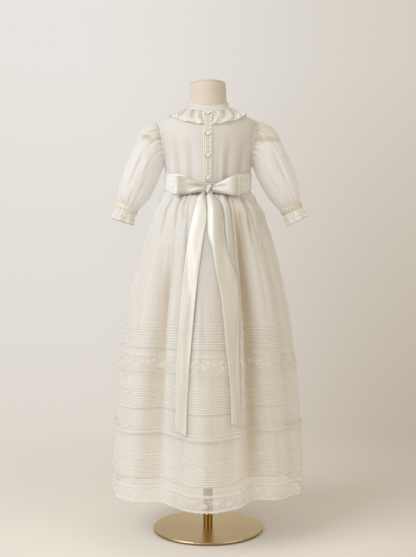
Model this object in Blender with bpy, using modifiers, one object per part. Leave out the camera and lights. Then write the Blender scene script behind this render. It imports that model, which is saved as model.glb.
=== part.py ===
"""Christening gown of sheer organza, resting on a limbless dress form with a pole and a round base.

The part stands on the underside of its base, whose centre is the origin. +Z is up and the front of the
gown faces -Y, so its buttoned back and its bow face +Y. The wearer's left is +X. Lengths are in metres.
Angles round the gown are in degrees: 0 at the centre back (+Y), 90 at the wearer's left side (+X).
"""
import math
from collections import namedtuple

import bmesh
import bpy
from mathutils import Matrix, Vector

# ---------------------------------------------------------------- driving dimensions
SEAM = 0.0003             # gap between two pieces that are sewn to each other
ORGANZA = 0.0012          # wall of the gown's sheer cloth
LINING = 0.0010           # wall of the underskirt
LINING_EASE = 0.0048      # the underskirt hangs this far inside the skirt
RIBBON = 0.0010           # wall of the sash and the bow
FRILL = 0.0010            # wall of the collar and the cuff frills

WAIST_Z = 0.6950          # seam of bodice and skirt, under the sash
NECKLINE_Z = 0.8650       # seam of bodice and neck band at the sides of the neck
NECKLINE_BACK_DIP = 0.0138   # how far that seam dips at the centre back
NECKLINE_FRONT_DIP = 0.0200  # and at the centre front
SHOULDER_MIDDLE_Z = 0.8502   # half way along the shoulder seam
SHOULDER_TIP_Z = 0.8385   # top of the armhole
UNDERARM_Z = 0.7465       # bottom of the armhole
ARMHOLE_HALF_ANGLE = 20   # how far the armhole reaches round to the back and to the front
INSERTION_TOP_Z = 0.3668  # seam of the upper panel and the lace insertion
INSERTION_LOW_Z = 0.3330  # seam of the lace insertion and the middle panel
TIER_Z = 0.2195           # seam of the middle and the lower panel, under the corded ribbon
LACE_Z = 0.1122           # seam of the lower panel and the hem lace
HEM_Z = 0.0830            # lower edge of the hem lace
LINING_HEM_Z = 0.1280     # lower edge of the underskirt

BASE_RADIUS = 0.1120
BASE_HEIGHT = 0.0060
POLE_RADIUS = 0.0095
POLE_FOOT_Z = 0.0033      # the pole stands in a shallow bore in the base
POLE_TOP_Z = 0.6000       # and ends in a socket inside the form

# ---------------------------------------------------------------- tables, one row a section or fold
Section = namedtuple("Section", "height half_width half_depth")

TORSO = [  # outer face of the bodice
    Section(0.6950, 0.0850, 0.0700),
    Section(0.7200, 0.0862, 0.0710),
    Section(0.7465, 0.0886, 0.0720),
    Section(0.7800, 0.0948, 0.0718),
    Section(0.8040, 0.0995, 0.0695),
    Section(0.8240, 0.1010, 0.0645),
    Section(0.8385, 0.0980, 0.0570),
    Section(0.8470, 0.0780, 0.0520),
    Section(0.8550, 0.0625, 0.0482),
    Section(0.8650, 0.0450, 0.0450),
    Section(0.8760, 0.0415, 0.0425),
]

SKIRT = [  # outer face of the skirt over the crests of its folds
    Section(0.6950, 0.0845, 0.0695),
    Section(0.6840, 0.0858, 0.0706),
    Section(0.6760, 0.0940, 0.0785),
    Section(0.6620, 0.1080, 0.0925),
    Section(0.6250, 0.1230, 0.1060),
    Section(0.5900, 0.1350, 0.1180),
    Section(0.5530, 0.1450, 0.1270),
    Section(0.5080, 0.1560, 0.1370),
    Section(0.4710, 0.1640, 0.1450),
    Section(0.4360, 0.1700, 0.1510),
    Section(0.3920, 0.1750, 0.1555),
    Section(0.3570, 0.1795, 0.1600),
    Section(0.3140, 0.1850, 0.1655),
    Section(0.2670, 0.1885, 0.1685),
    Section(0.2230, 0.1915, 0.1710),
    Section(0.1760, 0.1950, 0.1735),
    Section(0.1310, 0.1965, 0.1745),
    Section(0.0830, 0.1975, 0.1750),
]

# A fold runs down from its waist angle to its hem angle. It reaches half_width degrees to each side of
# its trough. Depth is how far the trough lies below the crests once the fold is full, and hem_depth how
# far at the hem, where the fold opens out.
Fold = namedtuple("Fold", "waist_angle hem_angle half_width depth hem_depth")
SKIRT_FOLDS = [
    Fold(-78, -82, 11, 0.009, 0.007),
    Fold(-53, -59, 10, 0.008, 0.007),
    Fold(-30, -29, 10, 0.026, 0.019),
    Fold(20, 12, 7, 0.007, 0.004),
    Fold(39, 34, 11, 0.021, 0.012),
    Fold(84, 80, 12, 0.009, 0.008),
    Fold(126, 120, 13, 0.020, 0.013),
    Fold(178, 172, 13, 0.016, 0.011),
    Fold(232, 229, 13, 0.019, 0.013),
]
NARROW_CREST = 11         # a crest narrower than this many degrees has no points of its own
FOLD_START_Z, FOLD_FULL_Z = 0.690, 0.480
FOLD_OPEN_Z, FOLD_HEM_Z = 0.420, 0.100    # a fold opens out between these heights
FOLD_TURN_Z = 0.450       # below this a fold runs straight down at its hem angle

# The cloth hangs higher beside the deep folds, which take it up. Rise is how much at the hem.
HemRise = namedtuple("HemRise", "angle rise")
HEM_RISES = [
    HemRise(-78, 0.0020),
    HemRise(-54, 0.0070),
    HemRise(-25, 0.0100),
    HemRise(-17, 0.0050),
    HemRise(-8, 0.0000),
    HemRise(11, -0.0010),
    HemRise(25, 0.0105),
    HemRise(38, 0.0060),
    HemRise(57, 0.0010),
    HemRise(80, -0.0015),
    HemRise(120, 0.0070),
    HemRise(150, 0.0005),
    HemRise(172, 0.0060),
    HemRise(200, -0.0010),
    HemRise(229, 0.0080),
    HemRise(256, 0.0000),
]
RISE_START_Z, RISE_FULL_Z = 0.420, 0.220

GATHER_COUNT = 24         # small gathers at the waist seam
GATHER_DEPTH = 0.0046
GATHER_START_Z, GATHER_FULL_Z, GATHER_END_Z = 0.686, 0.666, 0.590

BodiceFold = namedtuple("BodiceFold", "angle half_width depth")
BODICE_FOLDS = [          # soft upright hollows that fade out below the shoulder blades
    BodiceFold(-50, 9, 0.0014),
    BodiceFold(-19, 8, 0.0020),
    BodiceFold(16, 7, 0.0015),
    BodiceFold(38, 9, 0.0020),
    BodiceFold(150, 9, 0.0016),
    BodiceFold(182, 8, 0.0012),
    BodiceFold(212, 9, 0.0016),
]
BODICE_FOLD_TOP_Z, BODICE_FOLD_FULL_Z = 0.815, 0.750

TuckBand = namedtuple("TuckBand", "top_z pitch count")
TUCKS_UPPER = TuckBand(0.4323, 0.00510, 10)
TUCKS_MIDDLE = TuckBand(0.3113, 0.00485, 10)
TUCKS_LOWER = TuckBand(0.1765, 0.00455, 10)
TUCK_PROUD = 0.0011       # how far a pintuck's free edge stands off the panel

# Outer and inner outline of a sleeve in the plane of the arm, as distances from the centre line.
SleeveRing = namedtuple("SleeveRing", "outer_x outer_z inner_x inner_z half_depth gather")
SLEEVE_RINGS = [
    SleeveRing(0.1080, 0.8378, 0.0930, 0.7420, 0.0320, 0.0020),
    SleeveRing(0.1250, 0.8305, 0.0978, 0.7300, 0.0370, 0.0016),
    SleeveRing(0.1400, 0.8180, 0.1040, 0.7160, 0.0390, 0.0008),
    SleeveRing(0.1530, 0.7905, 0.1110, 0.7030, 0.0400, 0.0004),
    SleeveRing(0.1690, 0.7570, 0.1190, 0.6895, 0.0390, 0.0004),
    SleeveRing(0.1840, 0.7170, 0.1290, 0.6750, 0.0350, 0.0010),
    SleeveRing(0.1910, 0.6830, 0.1430, 0.6600, 0.0280, 0.0020),
    SleeveRing(0.1895, 0.6725, 0.1495, 0.6535, 0.0210, 0.0006),
]
SLEEVE_COLUMNS = 20       # every other column is a gather's crest
SLEEVE_SIDES = {"left": (1, 16), "right": (-1, 27)}  # side of the body, outward lean of the cuff
WRISTBAND_HEIGHT = 0.0090
WRIST_HALF_WIDTH, WRIST_HALF_DEPTH = 0.0218, 0.0200
CUFF_LENGTH = 0.0270
CUFF_WAVES = 9
CUFF_WAVE = 0.0022        # a cuff wave's height at its free edge, to each side
CUFF_FLARE = 1.10

COLLAR_DEPTH = 0.0350
COLLAR_WAVES = 10         # in each half
COLLAR_WAVE = 0.0042      # a collar wave's full height at its free edge
COLLAR_START, COLLAR_END = 11.5, 179.6
COLLAR_HANG = 18.0        # its free edge hangs this much nearer the centre back or front, in degrees
COLLAR_CLEARANCE, COLLAR_RISE = 0.0005, 0.0012  # at the neckline, and more at the free edge
BAND_HEIGHT = 0.0095

PLACKET_LEFT_X, PLACKET_RIGHT_X = 0.0080, -0.0074
BUTTON_HEIGHTS = (0.8435, 0.8005, 0.7573, 0.7130)
BUTTON_RADIUS, BUTTON_HALF_THICKNESS = 0.0040, 0.0013

SASH_HALF_WIDTH, SASH_HALF_DEPTH = 0.0884, 0.0732
SASH_TOP_Z, SASH_LOW_Z = 0.7260, 0.6880
SASH_DRAWN_TOP_Z, SASH_DRAWN_LOW_Z = 0.7020, 0.6840  # at the knot
SASH_DRAWN_ANGLES = (7, 34)  # drawn fully together up to the first, and not at all from the second

KNOT_X, KNOT_Z = -0.0010, 0.6912
KNOT_SIZE = Vector((0.0120, 0.0120, 0.0170))
Loop = namedtuple("Loop", "side length centre_rise outer_half_height")
BOW_LOOPS = {
    "left": Loop(1, 0.0660, 0.0078, 0.0178),
    "right": Loop(-1, 0.0630, 0.0060, 0.0186),
}
LOOP_FULLNESS = 0.0130    # distance between a loop's two layers
LOOP_KNOT_HALF_HEIGHT = 0.0050

# A tail's two edges, as distances from the centre line towards the wearer's left, and how far its
# middle bows out between them.
TailRow = namedtuple("TailRow", "height left_x right_x bow_out")
TAILS = {
    "left": [
        TailRow(0.6824, 0.0075, 0.0000, 0.0010),
        TailRow(0.6600, 0.0170, 0.0020, 0.0045),
        TailRow(0.6320, 0.0275, 0.0035, 0.0050),
        TailRow(0.5926, 0.0372, 0.0104, 0.0045),
        TailRow(0.5084, 0.0480, 0.0230, 0.0040),
        TailRow(0.4129, 0.0554, 0.0305, 0.0040),
        TailRow(0.2892, 0.0608, 0.0390, 0.0045),
        TailRow(0.2260, 0.0603, 0.0408, 0.0045),
    ],
    "right": [
        TailRow(0.6824, -0.0020, -0.0092, 0.0010),
        TailRow(0.6600, -0.0008, -0.0130, 0.0045),
        TailRow(0.6200, -0.0022, -0.0235, 0.0060),
        TailRow(0.5800, -0.0075, -0.0395, 0.0050),
        TailRow(0.5350, -0.0170, -0.0540, 0.0035),
        TailRow(0.4850, -0.0232, -0.0592, 0.0035),
        TailRow(0.3886, -0.0330, -0.0585, 0.0050),
        TailRow(0.3100, -0.0415, -0.0600, 0.0060),
        TailRow(0.2410, -0.0438, -0.0614, 0.0050),
    ],
}
TAIL_CLEARANCE = 0.0017
TAIL_TOP_DEPTH = 0.0795   # the tails start this far back, under the middle of the knot
TAIL_SLANT = {"left": -0.0110, "right": -0.0090}  # the right edge ends this much below the left edge

FORM_HIPS = [             # the form below the waist, hidden in the skirt
    Section(0.5450, 0.0520, 0.0420),
    Section(0.5500, 0.0650, 0.0540),
    Section(0.5750, 0.0750, 0.0615),
    Section(0.6300, 0.0785, 0.0640),
]
FORM_NECK = [             # the form above the neckline
    Section(0.8610, 0.0422, 0.0422),
    Section(0.8704, 0.0400, 0.0400),
    Section(0.8860, 0.0374, 0.0374),
    Section(0.9120, 0.0354, 0.0354),
    Section(0.9185, 0.0325, 0.0325),
    Section(0.9200, 0.0270, 0.0270),
]
FORM_CHEST_HEIGHTS = (0.700, 0.735, 0.770, 0.800, 0.824, 0.8385, 0.8470, 0.8550)
FORM_EASE = 0.0030        # the form is this much slimmer than the bodice, but for the shoulders
FORM_SHOULDER_EASE = 0.0024
FORM_COLUMNS = 24

Finish = namedtuple("Finish", "colour roughness metallic")
FINISHES = {
    "organza": Finish((0.90, 0.88, 0.83), 0.70, 0.0),
    "lace": Finish((0.93, 0.91, 0.86), 0.80, 0.0),
    "lining": Finish((0.88, 0.84, 0.78), 0.75, 0.0),
    "satin": Finish((0.89, 0.87, 0.79), 0.35, 0.0),
    "pearl": Finish((0.92, 0.89, 0.82), 0.20, 0.0),
    "linen": Finish((0.78, 0.68, 0.57), 0.85, 0.0),
    "brass": Finish((0.62, 0.46, 0.22), 0.28, 1.0),
}


# ---------------------------------------------------------------- numbers and surfaces
def mix(low, high, share):
    """The value a share of the way from low to high."""
    return low + (high - low) * share


def ease(low, high, value):
    """0 at low and 1 at high with a smooth start and end. low may be the larger one."""
    share = min(1.0, max(0.0, (value - low) / (high - low)))
    return share * share * (3.0 - 2.0 * share)


def bell(distance, half_width):
    """1 in the middle of a fold and 0 from half_width on."""
    share = min(1.0, abs(distance) / half_width)
    return 0.5 * (1.0 + math.cos(math.pi * share))


def turn_between(angle, other):
    """The signed turn from other to angle, from -180 to 180 degrees."""
    return (angle - other + 180.0) % 360.0 - 180.0


def read_table(table, column, height):
    """A table's column at a height, on straight lines between its rows."""
    rows = sorted(table, key=lambda row: row.height)
    for low, high in zip(rows, rows[1:]):
        if height <= high.height:
            share = max(0.0, (height - low.height) / (high.height - low.height))
            return mix(getattr(low, column), getattr(high, column), share)
    return getattr(rows[-1], column)


def on_ellipse(angle, half_width, half_depth, height):
    """A point at an angle round the gown on a level ellipse."""
    turn = math.radians(angle)
    return Vector((half_width * math.sin(turn), half_depth * math.cos(turn), height))


def plain_torso_point(angle, height):
    """The outer face of the bodice without its hollows."""
    half_width, half_depth = (read_table(TORSO, size, height) for size in ("half_width", "half_depth"))
    return on_ellipse(angle, half_width, half_depth, height)


def torso_point(angle, height):
    """The outer face of the bodice, with its soft upright hollows."""
    point = plain_torso_point(angle, height)
    depth = sum(
        fold.depth * bell(turn_between(angle, fold.angle), fold.half_width) for fold in BODICE_FOLDS
    )
    depth *= ease(BODICE_FOLD_TOP_Z, BODICE_FOLD_FULL_Z, height)
    return point - depth * Vector((math.sin(math.radians(angle)), math.cos(math.radians(angle)), 0))


def beside(surface, angle, height, distance):
    """A surface's point, moved along its normal by a distance. A negative one lies inside."""
    step_angle, step_height = 1.5, 0.0015
    across = surface(angle + step_angle, height) - surface(angle - step_angle, height)
    upward = surface(angle, height + step_height) - surface(angle, height - step_height)
    return surface(angle, height) + distance * upward.cross(across).normalized()


def neckline_height(angle):
    """Height of the neckline's seam, which dips from the sides to the centre back and front."""
    facing = math.cos(math.radians(angle))
    return NECKLINE_Z - facing * facing * (NECKLINE_BACK_DIP if facing > 0.0 else NECKLINE_FRONT_DIP)


def fold_angle(fold, height):
    """Where a skirt fold's trough lies at a height."""
    return mix(fold.hem_angle, fold.waist_angle, ease(FOLD_TURN_Z, WAIST_Z, height))


def gather_angle(index):
    """Where a gather at the waist lies. The gathers are a little uneven."""
    return 360.0 * index / GATHER_COUNT + 2.6 * math.sin(2.4 * index)


def fold_depth(angle, height):
    """How far the skirt lies below the crests of its folds."""
    full, opened = ease(FOLD_START_Z, FOLD_FULL_Z, height), ease(FOLD_OPEN_Z, FOLD_HEM_Z, height)
    return full * sum(
        mix(fold.depth, fold.hem_depth, opened)
        * bell(turn_between(angle, fold_angle(fold, height)), fold.half_width)
        for fold in SKIRT_FOLDS
    )


def hem_rise(angle, height):
    """How much higher than elsewhere the skirt hangs at an angle."""
    following = HEM_RISES[1:] + [HemRise(HEM_RISES[0].angle + 360.0, HEM_RISES[0].rise)]
    place = HEM_RISES[0].angle + (angle - HEM_RISES[0].angle) % 360.0
    for low, high in zip(HEM_RISES, following):
        if place <= high.angle:
            share = (place - low.angle) / (high.angle - low.angle)
            return mix(low.rise, high.rise, share) * ease(RISE_START_Z, RISE_FULL_Z, height)
    return 0.0


def gather_depth(angle, height):
    """How far the skirt lies below the crests of the small gathers at its waist."""
    full = gather_fullness(height)
    half_pitch = 180.0 / GATHER_COUNT
    return full * sum(bell(turn_between(angle, gather_angle(i)), half_pitch) for i in range(GATHER_COUNT))


def gather_fullness(height):
    """The gathers' depth at a height."""
    return (
        GATHER_DEPTH
        * ease(GATHER_START_Z, GATHER_FULL_Z, height)
        * ease(GATHER_END_Z, GATHER_FULL_Z, height)
    )


def skirt_point(angle, height, inset=0.0, gathered=True):
    """The skirt's outer face, or a wall inside it by inset. A negative inset stands proud."""
    inward = inset + fold_depth(angle, height)
    inward += gather_depth(angle, height) if gathered else gather_fullness(height)
    half_width = read_table(SKIRT, "half_width", height) - inward
    half_depth = read_table(SKIRT, "half_depth", height) - inward
    return on_ellipse(angle, half_width, half_depth, height + hem_rise(angle, height))


def fold_columns(height):
    """Angles of a ring of points: each fold's trough, its two brims and, if wide, the crest beside it."""
    angles = []
    for fold, following in zip(SKIRT_FOLDS, SKIRT_FOLDS[1:] + SKIRT_FOLDS[:1]):
        here, there = fold_angle(fold, height), fold_angle(following, height)
        there += 360.0 if there < here else 0.0
        first, last = here + fold.half_width, there - following.half_width
        crest = (following.waist_angle - fold.waist_angle) % 360.0 - fold.half_width - following.half_width
        angles += [here, first] + ([0.5 * (first + last)] if crest > NARROW_CREST else []) + [last]
    return angles


def gather_columns():
    """Angles of a finer ring of points, three for each gather at the waist."""
    angles = []
    for index in range(GATHER_COUNT):
        here, there = gather_angle(index), gather_angle(index + 1)
        angles += [here, mix(here, there, 0.35), mix(here, there, 0.65)]
    first = SKIRT_FOLDS[0].waist_angle
    return sorted(first + (angle - first) % 360.0 for angle in angles)


# ---------------------------------------------------------------- meshes
def finish_material(name, finish):
    """A material of its own for a piece."""
    look = FINISHES[finish]
    material = bpy.data.materials.new(name + "_finish")
    material.use_nodes = True
    shader = material.node_tree.nodes["Principled BSDF"]
    shader.inputs["Base Color"].default_value = (*look.colour, 1.0)
    shader.inputs["Roughness"].default_value = look.roughness
    shader.inputs["Metallic"].default_value = look.metallic
    return material


def add_piece(name, mesh, finish, smooth=True):
    """An object for a mesh, in the part's collection and under its root empty."""
    piece = bpy.data.objects.new(name, mesh)
    mesh.materials.clear()
    mesh.materials.append(finish_material(name, finish))
    if smooth:
        mesh.shade_smooth()
    PART.objects.link(piece)
    piece.parent = ROOT
    return piece


def piece_from_bmesh(name, bm, finish):
    """Turns a bmesh into a piece."""
    mesh = bpy.data.meshes.new(name)
    bm.to_mesh(mesh)
    bm.free()
    return add_piece(name, mesh, finish)


def strip(upper, lower, closed, guide=None):
    """Corners of the triangles between two rows. Between rings of unlike counts, angles are matched.

    Each square is split along its shorter diagonal, or along that of the guide, another pair of rows.
    """
    if len(upper) != len(lower):
        return unequal_strip(upper, lower)
    guide_upper, guide_lower = guide or (upper, lower)
    corners = []
    for i in range(len(upper) if closed else len(upper) - 1):
        j = (i + 1) % len(upper)
        falling = (guide_upper[i].co - guide_lower[j].co).length
        rising = (guide_upper[j].co - guide_lower[i].co).length
        if rising < falling:
            corners += [(upper[i], upper[j], lower[i]), (upper[j], lower[j], lower[i])]
        else:
            corners += [(upper[i], upper[j], lower[j]), (upper[i], lower[j], lower[i])]
    return corners


def unequal_strip(upper, lower):
    """Corners of the triangles between two closed rings, walked in step by their angles."""

    def turns(ring):
        angles = [math.degrees(math.atan2(vert.co.x, vert.co.y)) for vert in ring]
        return [angles[0] + (angle - angles[0]) % 360.0 for angle in angles] + [angles[0] + 360.0]

    upper_turns, lower_turns = turns(upper), turns(lower)
    corners = []
    i = j = 0
    while i < len(upper) or j < len(lower):
        here, there = upper[i % len(upper)], lower[j % len(lower)]
        if j == len(lower) or (i < len(upper) and upper_turns[i + 1] <= lower_turns[j + 1]):
            i += 1
            corners.append((here, upper[i % len(upper)], there))
        else:
            j += 1
            corners.append((here, lower[j % len(lower)], there))
    return corners


def bridge(bm, upper, lower, closed=True, guide=None):
    """Joins two rows with triangles."""
    for corners in strip(upper, lower, closed, guide):
        bm.faces.new(corners)


def add_wall(name, outer, inner, finish, closed=True):
    """A closed wall between two grids of points, each from its top row to its bottom row."""
    bm = bmesh.new()
    outer_rows = [[bm.verts.new(point) for point in row] for row in outer]
    inner_rows = [[bm.verts.new(point) for point in row] for row in inner]
    alike = len(outer_rows) == len(inner_rows)
    for rows in (outer_rows, inner_rows):
        for i, (upper, lower) in enumerate(zip(rows, rows[1:])):
            bridge(bm, upper, lower, closed, outer_rows[i:i + 2] if alike else None)
    bridge(bm, inner_rows[0], outer_rows[0], closed)
    bridge(bm, outer_rows[-1], inner_rows[-1], closed)
    if not closed:
        for column in (0, -1):
            outer_side, inner_side = ([row[column] for row in rows] for rows in (outer_rows, inner_rows))
            bridge(bm, outer_side, inner_side, closed)
    bmesh.ops.recalc_face_normals(bm, faces=bm.faces)
    return piece_from_bmesh(name, bm, finish)


def add_sheet(name, rows, thickness, finish, closed=False):
    """A shell from an open grid of points, given thickness on its inner side by Solidify."""
    bm = bmesh.new()
    grid = [[bm.verts.new(point) for point in row] for row in rows]
    for upper, lower in zip(grid, grid[1:]):
        bridge(bm, upper, lower, closed)
    piece = piece_from_bmesh(name, bm, finish)
    shell = piece.modifiers.new("thickness", "SOLIDIFY")
    shell.thickness = thickness
    shell.offset = -1.0
    return piece


def add_torso_wall(name, rows, low, high, finish):
    """A wall over the torso from a grid of angles, heights and lifts, between two distances from it."""
    inner, outer = (
        [[beside(torso_point, angle, height, lift + level) for angle, height, lift in row] for row in rows]
        for level in (low, high)
    )
    return add_wall(name, outer, inner, finish, closed=False)


def other_side(rows):
    """A grid of angles, heights and lifts on the body's other side."""
    return [[(-angle, height, lift) for angle, height, lift in row] for row in rows]


# ---------------------------------------------------------------- stand and form
def add_base():
    """Round base: a turned profile with a rounded rim and a shallow bore for the pole."""
    bore = POLE_RADIUS + SEAM
    rim = 0.0015
    profile = [
        (0.0, POLE_FOOT_Z - SEAM),
        (bore, POLE_FOOT_Z - SEAM),
        (bore, BASE_HEIGHT),
        (BASE_RADIUS - rim, BASE_HEIGHT),
        (BASE_RADIUS - 0.3 * rim, BASE_HEIGHT - 0.3 * rim),
        (BASE_RADIUS, BASE_HEIGHT - rim),
        (BASE_RADIUS, rim),
        (BASE_RADIUS - rim, 0.0),
        (0.0, 0.0),
    ]
    mesh = bpy.data.meshes.new("stand_base")
    points = [(radius, 0.0, height) for radius, height in profile]
    mesh.from_pydata(points, [(i, i + 1) for i in range(len(points) - 1)], [])
    base = add_piece("stand_base", mesh, "brass", smooth=False)
    turned = base.modifiers.new("turned", "SCREW")
    turned.axis = "Z"
    turned.steps = turned.render_steps = 48
    turned.use_merge_vertices = True
    turned.merge_threshold = 0.00001
    turned.use_smooth_shade = True


def add_pole():
    """Straight pole from the base into the form's socket."""
    bpy.ops.mesh.primitive_cylinder_add(
        vertices=28, radius=POLE_RADIUS, depth=POLE_TOP_Z - POLE_FOOT_Z,
        location=(0, 0, 0.5 * (POLE_TOP_Z + POLE_FOOT_Z)),
    )
    adopt(bpy.context.object, "stand_pole", "brass")


def adopt(piece, name, finish):
    """Takes an object made from a primitive into the part."""
    piece.name = piece.data.name = name
    piece.data.materials.append(finish_material(name, finish))
    for collection in list(piece.users_collection):
        collection.objects.unlink(piece)
    PART.objects.link(piece)
    piece.parent = ROOT
    piece.data.shade_smooth()
    piece.data.set_sharp_from_angle(angle=math.radians(40))


def add_dress_form():
    """Limbless form: hips, chest and neck as one loft of level rings, with a socket for the pole."""
    angles = [360.0 * i / FORM_COLUMNS for i in range(FORM_COLUMNS)]
    rings = [
        [on_ellipse(angle, row.half_width, row.half_depth, row.height) for angle in angles]
        for row in FORM_HIPS
    ]
    for height in FORM_CHEST_HEIGHTS:
        slimmer = mix(FORM_SHOULDER_EASE, FORM_EASE, ease(SHOULDER_TIP_Z, 0.800, height))
        inside = -(ORGANZA + SEAM + slimmer)
        rings.append([beside(plain_torso_point, angle, height, inside) for angle in angles])
    rings += [
        [on_ellipse(angle, row.half_width, row.half_depth, row.height) for angle in angles]
        for row in FORM_NECK
    ]
    bm = bmesh.new()
    loops = [[bm.verts.new(point) for point in ring] for ring in rings]
    for lower, upper in zip(loops, loops[1:]):
        bridge(bm, upper, lower)
    bm.faces.new(loops[0])
    bm.faces.new(reversed(loops[-1]))
    bmesh.ops.recalc_face_normals(bm, faces=bm.faces)
    form = piece_from_bmesh("dress_form", bm, "linen")

    socket_low, socket_top = FORM_HIPS[0].height - 0.010, POLE_TOP_Z + SEAM
    bpy.ops.mesh.primitive_cylinder_add(
        vertices=28, radius=POLE_RADIUS + SEAM, depth=socket_top - socket_low,
        location=(0, 0, 0.5 * (socket_top + socket_low)),
    )
    cutter = bpy.context.object
    cutter.name = "socket_cutter"
    cutter.hide_render = True
    cutter.display_type = "WIRE"
    for collection in list(cutter.users_collection):
        collection.objects.unlink(cutter)
    CUTTERS.objects.link(cutter)
    bore = form.modifiers.new("socket", "BOOLEAN")
    bore.operation = "DIFFERENCE"
    bore.object = cutter


# ---------------------------------------------------------------- bodice
# A column of a bodice quarter. It runs up from its waist angle to its place on the neckline, the
# shoulder seam or the armhole, and a higher sweep turns it aside nearer its top. A column that ends at
# the neckline crosses the turn of the shoulder at one of its rows.
Edge = namedtuple("Edge", "waist_angle top_angle top_z sweep")
ROW_SHARES = (0.0, 0.20, 0.40, 0.60, 0.78, 0.86, 0.93, 1.0)
SHOULDER_SHARE = ROW_SHARES[5]
NECK_EDGES = 5
NECK_WAIST_ANGLE, SHOULDER_WAIST_ANGLE, TIP_WAIST_ANGLE = 32, 41, 50


def armhole_edge(share):
    """Angle and height of the armhole's edge, from its top (0) round the back to the underarm (1)."""
    turn = math.pi * share
    middle_z, half_height = armhole_middle()
    return 90.0 - ARMHOLE_HALF_ANGLE * math.sin(turn), middle_z + half_height * math.cos(turn)


def armhole_middle():
    """Height of the armhole's middle, and half of its height."""
    return 0.5 * (SHOULDER_TIP_Z + UNDERARM_Z), 0.5 * (SHOULDER_TIP_Z - UNDERARM_Z)


def quarter_edges(start, front=False):
    """Columns of a quarter from its centre line, which lies at the angle start, to its side seam."""
    side = 90.0 - math.degrees(0.5 * SEAM / TORSO[0].half_depth)
    shoulder = 90.0 - math.degrees(0.5 * SEAM / TORSO[-2].half_depth)
    edges = []
    for index in range(NECK_EDGES):
        share = index / (NECK_EDGES - 1)
        top_angle = mix(start, shoulder, share)
        top_z = neckline_height(180.0 - top_angle if front else top_angle) - SEAM
        edges.append(Edge(mix(start, NECK_WAIST_ANGLE, share), top_angle, top_z, 4))
    edges.append(Edge(SHOULDER_WAIST_ANGLE, shoulder, SHOULDER_MIDDLE_Z, 6))
    steps = SLEEVE_COLUMNS // 4
    for step in range(steps + 1):
        share = step / steps
        top_angle, top_z = armhole_edge(share)
        waist_angle = mix(TIP_WAIST_ANGLE, side, share)
        if step < steps:
            waist_angle = min(waist_angle, top_angle - 1.0)
        edges.append(Edge(waist_angle, min(side, top_angle), top_z, mix(9, 1, share)))
    return edges


def edge_height(share, top_z, at_neck):
    """Height of a row on a column that ends at top_z."""
    if not at_neck:
        return mix(WAIST_Z + SEAM, top_z, share)
    if share <= SHOULDER_SHARE:
        return mix(WAIST_Z + SEAM, SHOULDER_TIP_Z, share / SHOULDER_SHARE)
    return mix(SHOULDER_TIP_Z, top_z, (share - SHOULDER_SHARE) / (1.0 - SHOULDER_SHARE))


def edge_column(edge, at_neck):
    """A column's angles, heights and lifts, from its top to the waist."""
    column = []
    for share in reversed(ROW_SHARES):
        angle = mix(edge.waist_angle, edge.top_angle, share ** edge.sweep)
        column.append((angle, edge_height(share, edge.top_z, at_neck), 0.0))
    return column


def quarter_rows(edges):
    """A quarter's grid of angles, heights and lifts."""
    return list(zip(*(edge_column(edge, index < NECK_EDGES) for index, edge in enumerate(edges))))


def back_start():
    """Angle of the edge of a back half at the centre back."""
    return math.degrees(0.5 * SEAM / TORSO[-2].half_depth)


def add_bodice():
    """Front in one piece and the two back halves, which meet at the side and shoulder seams."""
    back = quarter_rows(quarter_edges(back_start()))
    add_torso_wall("bodice_back_left", back, -ORGANZA, 0.0, "organza")
    add_torso_wall("bodice_back_right", other_side(back), -ORGANZA, 0.0, "organza")
    front = []
    for row in quarter_rows(quarter_edges(0.0, front=True)):
        left = [(180.0 - angle, height, lift) for angle, height, lift in reversed(row)]
        right = [(180.0 + angle, height, lift) for angle, height, lift in row[1:]]
        front.append(left + right)
    add_torso_wall("bodice_front", front, -ORGANZA, 0.0, "organza")


def add_placket():
    """Closing strip down the centre back, on the bodice's own points moved out."""
    top_z = neckline_height(0.0) - SEAM
    bodice_heights = [edge_height(share, top_z, True) for share in ROW_SHARES[1:-1]]
    rows = []
    for height in (top_z - 0.0007, *reversed(bodice_heights), SASH_DRAWN_TOP_Z + 0.003):
        half_width = read_table(TORSO, "half_width", height)
        places = (PLACKET_RIGHT_X, 0.5 * (PLACKET_RIGHT_X + PLACKET_LEFT_X), PLACKET_LEFT_X)
        rows.append([(math.degrees(math.asin(x / half_width)), height, 0.0) for x in places])
    add_torso_wall("back_placket", rows, SEAM, SEAM + ORGANZA, "organza")


def add_buttons():
    """Pearl buttons, seated on the placket."""
    for number, height in enumerate(BUTTON_HEIGHTS, start=1):
        seat = beside(torso_point, 0.0, height, 2 * SEAM + ORGANZA + BUTTON_HALF_THICKNESS)
        outward = (seat - torso_point(0.0, height)).normalized()
        bpy.ops.mesh.primitive_uv_sphere_add(segments=10, ring_count=5, radius=BUTTON_RADIUS)
        button = bpy.context.object
        flat = Matrix.Diagonal((1.0, 1.0, BUTTON_HALF_THICKNESS / BUTTON_RADIUS, 1.0))
        button.data.transform(flat)
        button.location = seat
        button.rotation_euler = outward.to_track_quat("Z", "Y").to_euler()
        adopt(button, f"button_{number}", "pearl")


# ---------------------------------------------------------------- neck
def neck_angles():
    """Angles of the bodice's columns at the neckline, from the centre back all the way round."""
    back = [edge.top_angle for edge in quarter_edges(back_start())[:NECK_EDGES]]
    front = [180.0 - edge.top_angle for edge in reversed(quarter_edges(0.0)[:NECK_EDGES])]
    half = back + front
    return half + [360.0 - angle for angle in reversed(half[:-1])]


def add_neck_band():
    """Binding round the neck, whose ends meet at the centre back."""
    turns = neck_angles()
    rows = [
        [(angle, neckline_height(angle) + SEAM + BAND_HEIGHT * share, 0.0) for angle in turns]
        for share in (1.0, 0.5, 0.0)
    ]
    add_torso_wall("neck_band", rows, -ORGANZA, 0.0, "organza")


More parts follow.
